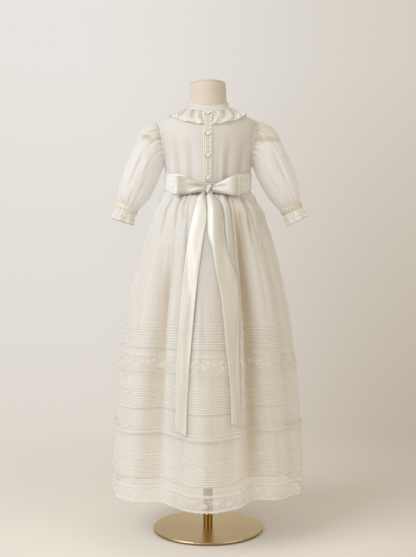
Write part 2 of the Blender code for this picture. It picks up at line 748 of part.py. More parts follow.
def below_neckline(angle, distance):
    """Height on the torso at a distance down its surface from the neckline."""
    height, step = neckline_height(angle) - SEAM, 0.0005
    point, travelled = torso_point(angle, height), 0.0
    while travelled < distance:
        height -= step
        following = torso_point(angle, height)
        travelled += (following - point).length
        point = following
    return height


def add_collar():
    """Gathered frill in two halves that lie on the shoulders, with waves growing to the free edge."""
    columns, wave_shape = 3 * COLLAR_WAVES, (0.0, 1.0, 0.45)
    rows = []
    for share in (0.0, 0.35, 0.7, 1.0):
        row = []
        for i in range(columns + 1):
            start = mix(COLLAR_START, COLLAR_END, i / columns)
            angle = start - share * COLLAR_HANG * math.sin(math.radians(2.0 * start))
            lift = share * (COLLAR_RISE + COLLAR_WAVE * wave_shape[i % 3])
            row.append((angle, below_neckline(angle, COLLAR_DEPTH * share), lift))
        rows.append(row)
    add_torso_wall("collar_left", rows, COLLAR_CLEARANCE, COLLAR_CLEARANCE + FRILL, "lace")
    add_torso_wall("collar_right", other_side(rows), COLLAR_CLEARANCE, COLLAR_CLEARANCE + FRILL, "lace")


# ---------------------------------------------------------------- sleeves
def armhole_ring(shrink):
    """The armhole's edge on the wearer's left, from its top round the back, smaller by shrink."""
    middle_z, half_height = armhole_middle()
    smaller = 1.0 - shrink / half_height
    corners = []
    for i in range(0, SLEEVE_COLUMNS, 2):
        angle, height = armhole_edge(2.0 * i / SLEEVE_COLUMNS)
        narrower = math.degrees(shrink / TORSO[3].half_depth) * math.sin(2.0 * math.pi * i / SLEEVE_COLUMNS)
        corners.append(torso_point(angle + narrower, mix(middle_z, height, smaller)))
    ring = []
    for corner, following in zip(corners, corners[1:] + corners[:1]):
        ring += [corner, 0.5 * (corner + following)]
    return ring


def sleeve_ring(row):
    """A ring of the sleeve between its outer and inner outline, with a gather on every other column."""
    outer = Vector((row.outer_x, 0, row.outer_z))
    inner = Vector((row.inner_x, 0, row.inner_z))
    middle, reach = 0.5 * (outer + inner), 0.5 * (outer - inner)
    ring = []
    for i in range(SLEEVE_COLUMNS):
        turn = 2.0 * math.pi * i / SLEEVE_COLUMNS
        taken_in = 1.0 - (row.gather if i % 2 else 0.0) / row.half_depth
        across = Vector((0, row.half_depth * math.sin(turn), 0))
        ring.append(middle + taken_in * (reach * math.cos(turn) + across))
    return ring


def to_side(rings, side):
    """Rings of the wearer's left arm, or their mirror image for the right, with their outer side out."""
    if side > 0:
        return [list(reversed(ring)) for ring in rings]
    return [[Vector((-point.x, point.y, point.z)) for point in ring] for ring in rings]


def cuff_ring(middle, direction, columns, size, wave):
    """A ring round the wrist, square to a direction, with a wave on every other column."""
    outward = Vector((-direction.z, 0, direction.x))
    ring = []
    for i in range(columns):
        turn = 2.0 * math.pi * i / columns
        swell = wave if i % 2 else -wave
        width, depth = size * WRIST_HALF_WIDTH + swell, size * WRIST_HALF_DEPTH + swell
        ring.append(middle + width * math.cos(turn) * outward + Vector((0, depth * math.sin(turn), 0)))
    return ring


def add_sleeve(name, side, lean):
    """Bishop sleeve with its wristband and its lace-edged frill."""
    rings = [armhole_ring(SEAM + 0.0003)] + [sleeve_ring(row) for row in SLEEVE_RINGS]
    add_sheet(f"sleeve_{name}", to_side(rings, side), ORGANZA, "organza", closed=True)

    last = SLEEVE_RINGS[-1]
    wrist = Vector((0.5 * (last.outer_x + last.inner_x), 0, 0.5 * (last.outer_z + last.inner_z)))
    along = Vector((last.outer_z - last.inner_z, 0, last.inner_x - last.outer_x)).normalized()
    band_top, band_low = wrist + SEAM * along, wrist + (SEAM + WRISTBAND_HEIGHT) * along
    band = [cuff_ring(middle, along, SLEEVE_COLUMNS, 1.0, 0.0) for middle in (band_top, band_low)]
    add_sheet(f"wristband_{name}", to_side(band, side), ORGANZA, "lace", closed=True)

    hanging = Vector((math.sin(math.radians(lean)), 0, -math.cos(math.radians(lean))))
    frill = []
    for share in (0.0, 0.4, 1.0):
        middle = band_low + SEAM * along + CUFF_LENGTH * share * along.lerp(hanging, 0.5 + 0.5 * share)
        direction = along.lerp(hanging, share).normalized()
        size = mix(1.0, CUFF_FLARE, share)
        frill.append(cuff_ring(middle, direction, 2 * CUFF_WAVES, size, CUFF_WAVE * share))
    add_sheet(f"cuff_frill_{name}", to_side(frill, side), FRILL, "lace", closed=True)


# ---------------------------------------------------------------- sash and bow
def sash_drawn(angle):
    """How much the sash is drawn together at an angle: 1 at the knot."""
    nearest, farthest = SASH_DRAWN_ANGLES
    return ease(farthest, nearest, abs(turn_between(angle, 0.0)))


def add_sash():
    """Ribbon round the waist, drawn narrow where the bow ties it."""
    columns = 36
    rows = []
    for share in (1.0, 0.5, 0.0):
        row = []
        for i in range(columns):
            angle = 360.0 * i / columns
            drawn = sash_drawn(angle)
            low = mix(SASH_LOW_Z, SASH_DRAWN_LOW_Z, drawn)
            top = mix(SASH_TOP_Z, SASH_DRAWN_TOP_Z, drawn)
            row.append(on_ellipse(angle, SASH_HALF_WIDTH, SASH_HALF_DEPTH, mix(low, top, share)))
        rows.append(row)
    add_sheet("sash_band", rows, RIBBON, "satin", closed=True)


def sash_depth(x):
    """How far back the sash's outer face lies at a distance from the centre line."""
    return SASH_HALF_DEPTH * math.sqrt(1.0 - (x / SASH_HALF_WIDTH) ** 2)


def add_bow_loop(name, loop):
    """A loop of ribbon, out along its rear layer, round the fold and back along its front layer."""
    columns, heights = 14, (1.0, 0.33, -0.33, -1.0)
    start = 0.5 * KNOT_SIZE.x + SEAM
    rows = [[] for _ in heights]
    for i in range(columns + 1):
        turn = mix(0.10, math.pi - 0.10, i / columns)
        reach = math.sin(turn)
        x = KNOT_X + loop.side * (start + loop.length * (reach - math.sin(0.10)))
        share = ease(0.0, 0.85, reach)
        half_height = mix(LOOP_KNOT_HALF_HEIGHT, loop.outer_half_height, share)
        middle_z = KNOT_Z + loop.centre_rise * share
        layer = 0.5 * LOOP_FULLNESS * (1.0 - math.cos(turn) * math.sqrt(reach))
        recede = 0.55 * (SASH_HALF_DEPTH - sash_depth(x))
        y = SASH_HALF_DEPTH + SEAM + RIBBON + layer + 0.0005 - recede
        for row, height in zip(rows, heights):
            row.append(Vector((x, y, middle_z + half_height * height)))
    if loop.side > 0:
        rows = [list(reversed(row)) for row in rows]
    add_sheet(f"bow_loop_{name}", rows, RIBBON, "satin")


def add_bow_knot():
    """Small rounded knot from a coarse cage."""
    bpy.ops.mesh.primitive_cube_add(size=1.0)
    knot = bpy.context.object
    knot.data.transform(Matrix.Diagonal((*(KNOT_SIZE * 1.18), 1.0)))
    knot.location = (KNOT_X, SASH_HALF_DEPTH + SEAM + 0.5 * KNOT_SIZE.y + 0.0004, KNOT_Z)
    adopt(knot, "bow_knot", "satin")
    rounded = knot.modifiers.new("rounded", "SUBSURF")
    rounded.levels = rounded.render_levels = 2


def tail_surface(x, height):
    """How far back the skirt's crests reach at a place below the bow."""
    half_width = read_table(SKIRT, "half_width", height)
    return read_table(SKIRT, "half_depth", height) * math.sqrt(1.0 - (x / half_width) ** 2)


def add_bow_tail(name, table):
    """A ribbon end that hangs over the skirt, with a diagonal cut."""
    shares = (0.0, 0.33, 0.67, 1.0)
    rows = []
    for row in dense_rows(table, 2):
        slant = ease(0.40, table[-1].height, row.height)
        points = []
        for share in shares:
            x = mix(row.right_x, row.left_x, share)
            arch = row.bow_out * math.sin(math.pi * share)
            height = row.height + slant * TAIL_SLANT[name] * (0.5 - share)
            behind = max(TAIL_TOP_DEPTH, tail_surface(x, row.height) + TAIL_CLEARANCE + RIBBON)
            points.append(Vector((x, behind + arch, height)))
        rows.append(points)
    add_sheet(f"bow_tail_{name}", rows, RIBBON, "satin")


def dense_rows(table, steps):
    """A tail's rows with steps between each two, so that it bends smoothly."""
    rows = []
    for upper, lower in zip(table, table[1:]):
        for i in range(steps):
            share = i / steps
            rows.append(TailRow(*(mix(a, b, share) for a, b in zip(upper, lower))))
    return rows + [table[-1]]


# ---------------------------------------------------------------- skirt
def skirt_ring(height, inset=0.0, angles=None, gathered=True):
    """A ring of the skirt, with its points on its folds unless angles are given."""
    return [skirt_point(angle, height, inset, gathered) for angle in angles or fold_columns(height)]


def tuck_rings(band):
    """Rings of a band of pintucks: each swells out to its free edge and steps back under it."""
    rings = [skirt_ring(band.top_z)]
    for index in range(band.count):
        rings.append(skirt_ring(band.top_z - band.pitch * (index + 0.78), -TUCK_PROUD))
        rings.append(skirt_ring(band.top_z - band.pitch * (index + 1.0)))
    return rings


def add_skirt_upper():
    """Upper panel: gathered at the waist, falling into the folds, with ten pintucks low down."""
    fine = gather_columns()
    gathered_heights = (WAIST_Z - SEAM, 0.684, 0.668, 0.640)
    plain_heights = (0.600, 0.550, 0.490)
    low_z = INSERTION_TOP_Z + 0.5 * SEAM
    outer = [skirt_ring(height, angles=fine) for height in gathered_heights]
    outer += [skirt_ring(height) for height in plain_heights]
    outer += tuck_rings(TUCKS_UPPER) + [skirt_ring(low_z)]
    inner = [skirt_ring(height, ORGANZA, fine) for height in gathered_heights]
    inner += [skirt_ring(height, ORGANZA) for height in plain_heights + (TUCKS_UPPER.top_z, low_z)]
    add_wall("skirt_upper", outer, inner, "organza")


def add_lace_insertion():
    """Band of embroidered lace between the upper and the middle panel, a little proud."""
    top_z, low_z = INSERTION_TOP_Z - 0.5 * SEAM, INSERTION_LOW_Z + 0.5 * SEAM
    outer = [skirt_ring(top_z), skirt_ring(top_z - 0.003, -0.0008)]
    outer += [skirt_ring(low_z + 0.003, -0.0008), skirt_ring(low_z)]
    inner = [skirt_ring(top_z, ORGANZA), skirt_ring(low_z, ORGANZA)]
    add_wall("lace_insertion", outer, inner, "lace")


def add_tucked_panel(name, top_z, band, low_z):
    """A skirt panel with a band of pintucks between plain stretches."""
    outer = [skirt_ring(top_z)] + tuck_rings(band) + [skirt_ring(low_z)]
    middle_z = band.top_z - band.pitch * band.count
    inner = [skirt_ring(height, ORGANZA) for height in (top_z, band.top_z, middle_z, low_z)]
    add_wall(name, outer, inner, "organza")


def add_tier_ribbon():
    """Ribbon with two cords over the seam of the middle and the lower panel."""
    proud, cord = -(SEAM + ORGANZA), 0.0012
    offsets = ((0.0065, 0.0), (0.0040, cord), (0.0010, 0.0), (-0.0034, cord), (-0.0062, 0.0))
    outer = [skirt_ring(TIER_Z + rise, proud - swell) for rise, swell in offsets]
    inner = [skirt_ring(TIER_Z + rise, -SEAM) for rise in (offsets[0][0], offsets[-1][0])]
    add_wall("tier_ribbon", outer, inner, "satin")


def add_hem_lace():
    """Lace edging round the hem."""
    top_z = LACE_Z - 0.5 * SEAM
    heights = (top_z, HEM_Z)
    outer = [skirt_ring(height) for height in heights]
    inner = [skirt_ring(height, ORGANZA) for height in heights]
    add_wall("hem_lace", outer, inner, "lace")


def add_underskirt():
    """Plain lining skirt just inside the outer one, ending above the lace."""
    heights = (WAIST_Z - 0.001, 0.684, 0.655, 0.590, 0.480, 0.340, LINING_HEM_Z)

    def rings(deeper):
        insets = [ORGANZA + SEAM + LINING_EASE * ease(0.690, 0.640, z) + deeper for z in heights]
        return [skirt_ring(z, inset, gathered=False) for z, inset in zip(heights, insets)]

    outer, inner = rings(0.0002), rings(0.0002 + LINING)
    add_wall("underskirt", outer, inner, "lining")


# ---------------------------------------------------------------- the whole part
for old in list(bpy.data.objects):
    bpy.data.objects.remove(old, do_unlink=True)

PART = bpy.data.collections.new("christening_gown_on_dress_form")
CUTTERS = bpy.data.collections.new("cutters")
bpy.context.scene.collection.children.link(PART)
bpy.context.scene.collection.children.link(CUTTERS)
ROOT = bpy.data.objects.new("gown_origin", None)
PART.objects.link(ROOT)

add_base()
add_pole()
add_dress_form()
add_bodice()
add_placket()
add_buttons()
add_neck_band()
add_collar()
for side_name, (side_sign, cuff_lean) in SLEEVE_SIDES.items():
    add_sleeve(side_name, side_sign, cuff_lean)
add_sash()
for loop_name, bow_loop in BOW_LOOPS.items():
    add_bow_loop(loop_name, bow_loop)
add_bow_knot()
for tail_name, tail_table in TAILS.items():
    add_bow_tail(tail_name, tail_table)
add_skirt_upper()
add_lace_insertion()
add_tucked_panel("skirt_middle", INSERTION_LOW_Z - 0.5 * SEAM, TUCKS_MIDDLE, TIER_Z + 0.5 * SEAM)
add_tier_ribbon()
add_tucked_panel("skirt_lower", TIER_Z - 0.5 * SEAM, TUCKS_LOWER, LACE_Z + 0.5 * SEAM)
add_hem_lace()
add_underskirt()
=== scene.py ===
"""Looks of the christening gown on its dress form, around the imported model.

Lengths are in metres and angles in degrees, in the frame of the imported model: +Z up, the buttoned back
and the bow towards +Y, the wearer's left towards +X. Angle 0 is the centre back, 90 the wearer's left.
"""
import math
from collections import namedtuple

import bpy
import numpy as np
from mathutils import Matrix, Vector


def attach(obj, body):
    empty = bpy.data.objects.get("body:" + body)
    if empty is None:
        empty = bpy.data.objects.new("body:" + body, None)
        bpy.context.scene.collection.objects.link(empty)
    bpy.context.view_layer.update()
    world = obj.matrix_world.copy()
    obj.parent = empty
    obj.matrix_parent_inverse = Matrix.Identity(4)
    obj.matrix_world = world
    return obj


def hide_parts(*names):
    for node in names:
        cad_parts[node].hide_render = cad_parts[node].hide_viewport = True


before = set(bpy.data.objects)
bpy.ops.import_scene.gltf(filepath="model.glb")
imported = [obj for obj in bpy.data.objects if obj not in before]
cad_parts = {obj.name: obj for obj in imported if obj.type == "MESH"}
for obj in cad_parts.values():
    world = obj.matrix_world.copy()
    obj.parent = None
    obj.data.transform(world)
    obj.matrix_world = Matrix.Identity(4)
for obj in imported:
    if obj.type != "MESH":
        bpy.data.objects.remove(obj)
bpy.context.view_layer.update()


def rows_of(row_type, rows):
    """A table whose columns have the names of a tuple's fields."""
    return [row_type(*row) for row in rows]


# ---------------------------------------------------------------- sizes of the gown, as in the part's source
SEAM = 0.0003
WAIST_Z = 0.6950
NECKLINE_Z = 0.8650
NECKLINE_BACK_DIP, NECKLINE_FRONT_DIP = 0.0138, 0.0200
SHOULDER_MIDDLE_Z, SHOULDER_TIP_Z, UNDERARM_Z = 0.8502, 0.8385, 0.7465
ARMHOLE_HALF_ANGLE = 20
ARMHOLE_MIDDLE_Z = 0.5 * (SHOULDER_TIP_Z + UNDERARM_Z)
ARMHOLE_HALF_HEIGHT = 0.5 * (SHOULDER_TIP_Z - UNDERARM_Z)
INSERTION_TOP_Z, INSERTION_LOW_Z = 0.3668, 0.3330
TIER_Z, LACE_Z, HEM_Z, LINING_HEM_Z = 0.2195, 0.1122, 0.0830, 0.1280
LINING_INSET, LINING_EASE, LINING_GATHERS = 0.0017, 0.0048, 0.9

Section = namedtuple("Section", "height half_width half_depth")
TORSO = rows_of(Section, [
    (0.6950, 0.0850, 0.0700),
    (0.7200, 0.0862, 0.0710),
    (0.7465, 0.0886, 0.0720),
    (0.7800, 0.0948, 0.0718),
    (0.8040, 0.0995, 0.0695),
    (0.8240, 0.1010, 0.0645),
    (0.8385, 0.0980, 0.0570),
    (0.8470, 0.0780, 0.0520),
    (0.8550, 0.0625, 0.0482),
    (0.8650, 0.0450, 0.0450),
    (0.8760, 0.0415, 0.0425),
])
SKIRT = rows_of(Section, [
    (0.6950, 0.0845, 0.0695),
    (0.6840, 0.0858, 0.0706),
    (0.6760, 0.0940, 0.0785),
    (0.6620, 0.1080, 0.0925),
    (0.6250, 0.1230, 0.1060),
    (0.5900, 0.1350, 0.1180),
    (0.5530, 0.1450, 0.1270),
    (0.5080, 0.1560, 0.1370),
    (0.4710, 0.1640, 0.1450),
    (0.4360, 0.1700, 0.1510),
    (0.3920, 0.1750, 0.1555),
    (0.3570, 0.1795, 0.1600),
    (0.3140, 0.1850, 0.1655),
    (0.2670, 0.1885, 0.1685),
    (0.2230, 0.1915, 0.1710),
    (0.1760, 0.1950, 0.1735),
    (0.1310, 0.1965, 0.1745),
    (0.0830, 0.1975, 0.1750),
])

# The main folds of the skirt. A fold's trough reaches right degrees to the wearer's right and left degrees
# to the left, and a narrow side is crisp. It opens out from its full depth to hem_depth, and grows wider.
# The next-to-last column is how much painted shade, in tan, lies in its trough, from the height in the last
# column down.
Fold = namedtuple("Fold", "waist_angle hem_angle right left depth hem_depth warm warm_z")
SKIRT_FOLDS = rows_of(Fold, [
    (-78, -82, 11, 11, 0.009, 0.007, 0.35, 0.66),
    (-53, -59, 10, 10, 0.008, 0.007, 0.20, 0.66),
    (-29, -28, 14, 6, 0.026, 0.019, 0.88, 0.70),
    (20, 12, 7, 7, 0.007, 0.004, 0.15, 0.60),
    (37, 32, 6, 16, 0.021, 0.012, 0.75, 0.58),
    (84, 80, 12, 12, 0.009, 0.008, 0.30, 0.64),
    (126, 120, 9, 15, 0.020, 0.013, 0.75, 0.67),
    (178, 172, 15, 9, 0.016, 0.011, 0.60, 0.64),
    (232, 229, 13, 10, 0.019, 0.013, 0.70, 0.68),
])
FOLD_START_Z, FOLD_FULL_Z, FOLD_TURN_Z = 0.690, 0.480, 0.450
# Broad stretches of painted shade, a little tan, below a height.
SkirtShadeStretch = namedtuple("SkirtShadeStretch", "angle half_width start_z full_z strength")
SKIRT_SHADE_STRETCHES = rows_of(SkirtShadeStretch, [
    (-9, 17, 0.540, 0.470, 0.36),
    (41, 9, 0.400, 0.330, 0.22),
    (-38, 8, 0.460, 0.380, 0.20),
    (150, 18, 0.540, 0.470, 0.20),
    (204, 16, 0.500, 0.420, 0.24),
])
FOLD_OPEN_Z, FOLD_HEM_Z, FOLD_OPEN_SIDE = 0.420, 0.100, 12.0

HemRise = namedtuple("HemRise", "angle rise")
HEM_RISES = rows_of(HemRise, [
    (-78, 0.0020),
    (-54, 0.0070),
    (-25, 0.0100),
    (-17, 0.0050),
    (-8, 0.0000),
    (11, -0.0010),
    (25, 0.0105),
    (38, 0.0060),
    (57, 0.0010),
    (80, -0.0015),
    (120, 0.0070),
    (150, 0.0005),
    (172, 0.0060),
    (200, -0.0010),
    (229, 0.0080),
    (256, 0.0000),
])
RISE_START_Z, RISE_FULL_Z = 0.420, 0.220

# The sash sits higher at the sides, where the skirt springs out right under it.
SIDE_SPRING, SIDE_SPRING_Z, SIDE_SPRING_REACH = 0.0095, 0.6830, 0.0170
BACK_SPRING, BACK_SPRING_Z, BACK_SPRING_REACH = 0.0036, 0.6775, 0.0085

GATHER_COUNT, GATHER_DEPTH = 24, 0.0026
GATHER_START_Z, GATHER_FULL_Z, GATHER_END_Z = 0.686, 0.666, 0.590

# Smaller creases, placed one by one. A negative depth is a ridge.
Crease = namedtuple("Crease", "top_angle low_angle top_z low_z half_width depth")
SKIRT_CREASES = rows_of(Crease, [
    (34, 26, 0.698, 0.440, 2.8, 0.0050),
    (37, 33, 0.600, 0.330, 4.0, -0.0030),
    (27, 22, 0.698, 0.590, 2.2, 0.0030),
    (23, 19, 0.698, 0.520, 2.6, -0.0028),
    (17, 13, 0.698, 0.540, 3.4, -0.0016),
    (9, 8, 0.520, 0.360, 3.5, 0.0022),
    (3, 3, 0.500, 0.240, 4.5, 0.0022),
    (-7, -6, 0.698, 0.610, 2.0, 0.0030),
    (-13, -12, 0.698, 0.540, 2.2, 0.0020),
    (-18, -15, 0.698, 0.470, 3.0, -0.0032),
    (-24, -21, 0.698, 0.480, 2.3, 0.0060),
    (-31, -36, 0.660, 0.420, 3.0, -0.0030),
    (-44, -40, 0.698, 0.560, 2.4, 0.0042),
    (-42, -44, 0.640, 0.380, 4.0, 0.0026),
    (-48, -47, 0.698, 0.520, 2.8, 0.0036),
    (-57, -62, 0.690, 0.600, 2.6, 0.0040),
    (-67, -70, 0.660, 0.420, 4.0, 0.0034),
    (-74, -66, 0.698, 0.570, 2.6, 0.0038),
    (-88, -92, 0.698, 0.500, 3.0, 0.0038),
    (49, 46, 0.698, 0.560, 2.4, 0.0040),
    (56, 51, 0.698, 0.480, 3.0, 0.0020),
    (51, 47, 0.560, 0.330, 4.0, -0.0024),
    (63, 60, 0.600, 0.400, 3.5, 0.0028),
    (70, 68, 0.698, 0.560, 2.6, 0.0040),
    (78, 90, 0.640, 0.380, 4.0, 0.0030),
    (92, 97, 0.698, 0.520, 3.0, 0.0042),
    (103, 104, 0.698, 0.580, 2.6, 0.0040),
    (112, 110, 0.698, 0.450, 3.2, 0.0048),
    (121, 113, 0.600, 0.360, 3.6, -0.0028),
    (131, 134, 0.698, 0.560, 2.4, 0.0042),
    (140, 143, 0.560, 0.300, 4.5, 0.0026),
    (147, 149, 0.698, 0.520, 2.8, 0.0044),
    (157, 160, 0.698, 0.580, 2.4, 0.0036),
    (168, 166, 0.698, 0.470, 3.0, 0.0050),
    (184, 181, 0.640, 0.380, 3.8, -0.0026),
    (190, 193, 0.698, 0.540, 2.6, 0.0042),
    (201, 203, 0.698, 0.590, 2.2, 0.0038),
    (207, 210, 0.540, 0.320, 4.2, 0.0026),
    (214, 217, 0.698, 0.500, 3.0, 0.0048),
    (226, 222, 0.698, 0.560, 2.4, 0.0040),
    (239, 241, 0.660, 0.400, 3.6, -0.0028),
    (247, 250, 0.698, 0.540, 2.8, 0.0044),
    (256, 262, 0.560, 0.340, 4.0, 0.0026),
    (263, 266, 0.698, 0.580, 2.6, 0.0036),
])

PIPING_RADIUS = 0.0013
BodiceFold = namedtuple("BodiceFold", "angle half_width depth")
BODICE_FOLDS = rows_of(BodiceFold, [
    (-76, 8, 0.0010),
    (-52, 9, 0.0022),
    (-27, 8, 0.0026),
    (-14, 5, 0.0010),
    (24, 8, 0.0024),
    (45, 9, 0.0026),
    (66, 8, 0.0010),
    (122, 8, 0.0014),
    (143, 10, 0.0024),
    (163, 8, 0.0016),
    (184, 7, 0.0012),
    (203, 9, 0.0024),
    (221, 7, 0.0016),
    (240, 9, 0.0016),
])
BODICE_FOLD_TOP_Z, BODICE_FOLD_FULL_Z = 0.815, 0.745

TuckBand = namedtuple("TuckBand", "top_z pitch count")
TUCKS_UPPER = TuckBand(0.4323, 0.00510, 10)
TUCKS_MIDDLE = TuckBand(0.3113, 0.00485, 10)
TUCKS_LOWER = TuckBand(0.1765, 0.00455, 10)
# A pintuck's profile over one pitch: share of the pitch, how proud it stands, and whether it is doubled.
TuckRing = namedtuple("TuckRing", "share proud doubled")
TUCK_PROFILE = rows_of(TuckRing, [
    (0.00, 0.0000, 0.0),
    (0.44, 0.0000, 0.0),
    (0.50, 0.0001, 0.4),
    (0.64, 0.0004, 0.5),
    (0.78, 0.0006, 0.6),
    (0.82, 0.0005, 0.6),
    (0.83, 0.0000, 0.0),
])

SleeveRing = namedtuple("SleeveRing", "outer_x outer_z inner_x inner_z half_depth")
SLEEVE_RINGS = rows_of(SleeveRing, [
    (0.1080, 0.8378, 0.0930, 0.7420, 0.0320),
    (0.1250, 0.8305, 0.0978, 0.7300, 0.0370),
    (0.1400, 0.8180, 0.1040, 0.7160, 0.0390),
    (0.1530, 0.7905, 0.1110, 0.7030, 0.0400),
    (0.1690, 0.7570, 0.1190, 0.6895, 0.0390),
    (0.1840, 0.7170, 0.1290, 0.6750, 0.0350),
    (0.1910, 0.6830, 0.1430, 0.6600, 0.0280),
    (0.1895, 0.6725, 0.1495, 0.6535, 0.0210),
])
# Each sleeve: its side, the lean of its cuff, how far its lower half is drawn towards the body, how much
# painted shade, in tan, its unlined head has, and how dense it looks.
SleeveSide = namedtuple("SleeveSide", "side lean drawn_in head_warm head_dense")
SLEEVE_SIDES = {
    "left": SleeveSide(1, 18, 0.0045, 0.06, 0.30),
    "right": SleeveSide(-1, 27, 0.0, 0.24, 0.0),
}
WRISTBAND_HEIGHT = 0.0090
WRIST_HALF_WIDTH, WRIST_HALF_DEPTH = 0.0218, 0.0200
CUFF_LENGTH, CUFF_WAVES, CUFF_WAVE, CUFF_FLARE = 0.0232, 7, 0.0024, 1.02
CUFF_PLEATS, CUFF_SCALLOPS, CUFF_SPRIGS = 19.0, 33, 11

# Creases of a sleeve: the place round the arm (0 the outer side, 90 towards the back), where along the
# arm it starts and ends (0 the armhole, 8 the wrist), how wide it is and how deep.
SleeveCrease = namedtuple("SleeveCrease", "turn start end half_width depth")
SLEEVE_CREASES = rows_of(SleeveCrease, [
    (12, 0.0, 1.7, 6, 0.0032),
    (27, 0.0, 2.3, 6, 0.0042),
    (41, 0.0, 1.6, 5, 0.0040),
    (54, 0.0, 2.7, 6, 0.0048),
    (67, 0.0, 1.7, 5, 0.0044),
    (80, 0.0, 3.0, 7, 0.0050),
    (95, 0.0, 1.9, 6, 0.0042),
    (109, 0.0, 2.6, 7, 0.0042),
    (126, 0.0, 1.8, 7, 0.0034),
    (146, 0.0, 2.3, 8, 0.0030),
    (212, 0.0, 2.2, 8, 0.0030),
    (233, 0.0, 1.8, 7, 0.0036),
    (250, 0.0, 2.8, 7, 0.0044),
    (265, 0.0, 1.7, 6, 0.0042),
    (280, 0.0, 2.9, 7, 0.0048),
    (295, 0.0, 1.8, 5, 0.0042),
    (308, 0.0, 2.5, 6, 0.0046),
    (322, 0.0, 1.6, 5, 0.0038),
    (336, 0.0, 2.2, 6, 0.0040),
    (350, 0.0, 1.6, 6, 0.0032),
    (48, 2.4, 4.8, 10, -0.0024),
    (75, 3.0, 6.8, 11, 0.0040),
    (98, 2.6, 5.4, 10, -0.0026),
    (118, 3.4, 7.6, 11, 0.0036),
    (36, 3.6, 7.8, 10, 0.0032),
    (255, 3.0, 7.0, 11, 0.0038),
    (282, 2.6, 5.2, 10, -0.0024),
    (305, 3.6, 7.7, 11, 0.0034),
    (165, 3.2, 7.2, 11, 0.0028),
    (12, 5.8, 8.4, 7, 0.0026),
    (52, 6.2, 8.4, 6, 0.0030),
    (72, 6.6, 8.4, 5, 0.0028),
    (94, 5.8, 8.4, 7, 0.0034),
    (117, 6.4, 8.4, 5, 0.0028),
    (140, 6.1, 8.4, 7, 0.0030),
    (190, 6.0, 8.4, 8, 0.0026),
    (226, 6.2, 8.4, 7, 0.0030),
    (252, 6.6, 8.4, 5, 0.0026),
    (278, 6.0, 8.4, 7, 0.0032),
    (303, 6.4, 8.4, 5, 0.0026),
    (332, 6.1, 8.4, 7, 0.0028),
])
# Patches of painted shade, in tan, on the sleeve's unlined head: distance from the centre line, height, how
# far the patch reaches each way, and how strong it is. The lining of the lower sleeve starts at
# SLEEVE_LINED_Z.
SleeveShadePatch = namedtuple("SleeveShadePatch", "x height half_x half_height strength")
SLEEVE_SHADE_PATCHES = {
    "left": rows_of(SleeveShadePatch, [
        (0.1235, 0.8010, 0.0125, 0.0060, 0.95),
        (0.0985, 0.8000, 0.0060, 0.0060, 0.80),
        (0.1090, 0.8150, 0.0150, 0.0020, 0.30),
    ]),
    "right": rows_of(SleeveShadePatch, [
        (0.1010, 0.7980, 0.0125, 0.0090, 1.00),
        (0.1290, 0.7965, 0.0220, 0.0070, 0.65),
        (0.1000, 0.8160, 0.0090, 0.0035, 0.75),
    ]),
}
SLEEVE_LINED_Z = 0.7910

COLLAR_DEPTH, COLLAR_WAVES, COLLAR_WAVE = 0.0350, 10, 0.0042
COLLAR_START, COLLAR_END, COLLAR_HANG = 11.5, 179.6, 18.0
COLLAR_CLEARANCE, COLLAR_RISE, COLLAR_SCALLOP = 0.0010, 0.0012, 3.9
BAND_HEIGHT = 0.0095

PLACKET_LEFT_X, PLACKET_RIGHT_X, PLACKET_FOLD_X = 0.0080, -0.0074, 0.0040
PLACKET_LIFT, PLACKET_EDGE_LIFT, PLACKET_FLOWER_PITCH = 0.0014, 0.0004, 0.0085
BUTTON_HEIGHTS = (0.8435, 0.8005, 0.7573, 0.7130)
BUTTON_RADIUS, BUTTON_HALF_THICKNESS, BUTTON_SEAT = 0.0040, 0.0013, 0.0018

SASH_HALF_WIDTH, SASH_HALF_DEPTH = 0.0884, 0.0732
SASH_TOP_Z, SASH_LOW_Z = 0.7260, 0.6880
SASH_DRAWN_TOP_Z, SASH_DRAWN_LOW_Z = 0.7020, 0.6840
SASH_DRAWN_ANGLES = (7, 46)
SASH_SPRIG_ANGLES, SASH_SPRIG_ROWS, SASH_SPRIG_PITCH = (44.0, 316.0), (0.0075, 0.0190, 0.0305), 0.0098
RIBBON_THICKNESS, TAIL_THICKNESS, WRISTBAND_THICKNESS = 0.0006, 0.0004, 0.0006
# The sash rises towards the sides: at an angle from the centre back, by how much its edges lie higher.
SashRise = namedtuple("SashRise", "angle top low")
SASH_RISES = rows_of(SashRise, [
    (0, 0.0, 0.0),
    (30, -0.0010, -0.0020),
    (50, -0.0020, -0.0035),
    (70, 0.0035, 0.0040),
    (90, 0.0068, 0.0070),
    (130, 0.0050, 0.0055),
    (180, 0.0040, 0.0045),
])

KNOT_X, KNOT_Z = -0.0010, 0.6912
# What the knot fills between the loops and out from the sash, and its own slant and size.
KNOT_GAP, KNOT_DEPTH = 0.0120, 0.0120
KNOT_SLANT, KNOT_LENGTH, KNOT_WIDTH = 38, 0.0168, 0.0092
Loop = namedtuple("Loop", "side length centre_rise outer_half_height")
BOW_LOOPS = {
    "left": Loop(1, 0.0682, 0.0078, 0.0178),
    "right": Loop(-1, 0.0630, 0.0060, 0.0186),
}
# A loop's half height at the knot, and the turn, in radians, at which its rear layer leaves the knot.
LOOP_KNOT_HALF_HEIGHT, LOOP_START_TURN = 0.0050, 0.10
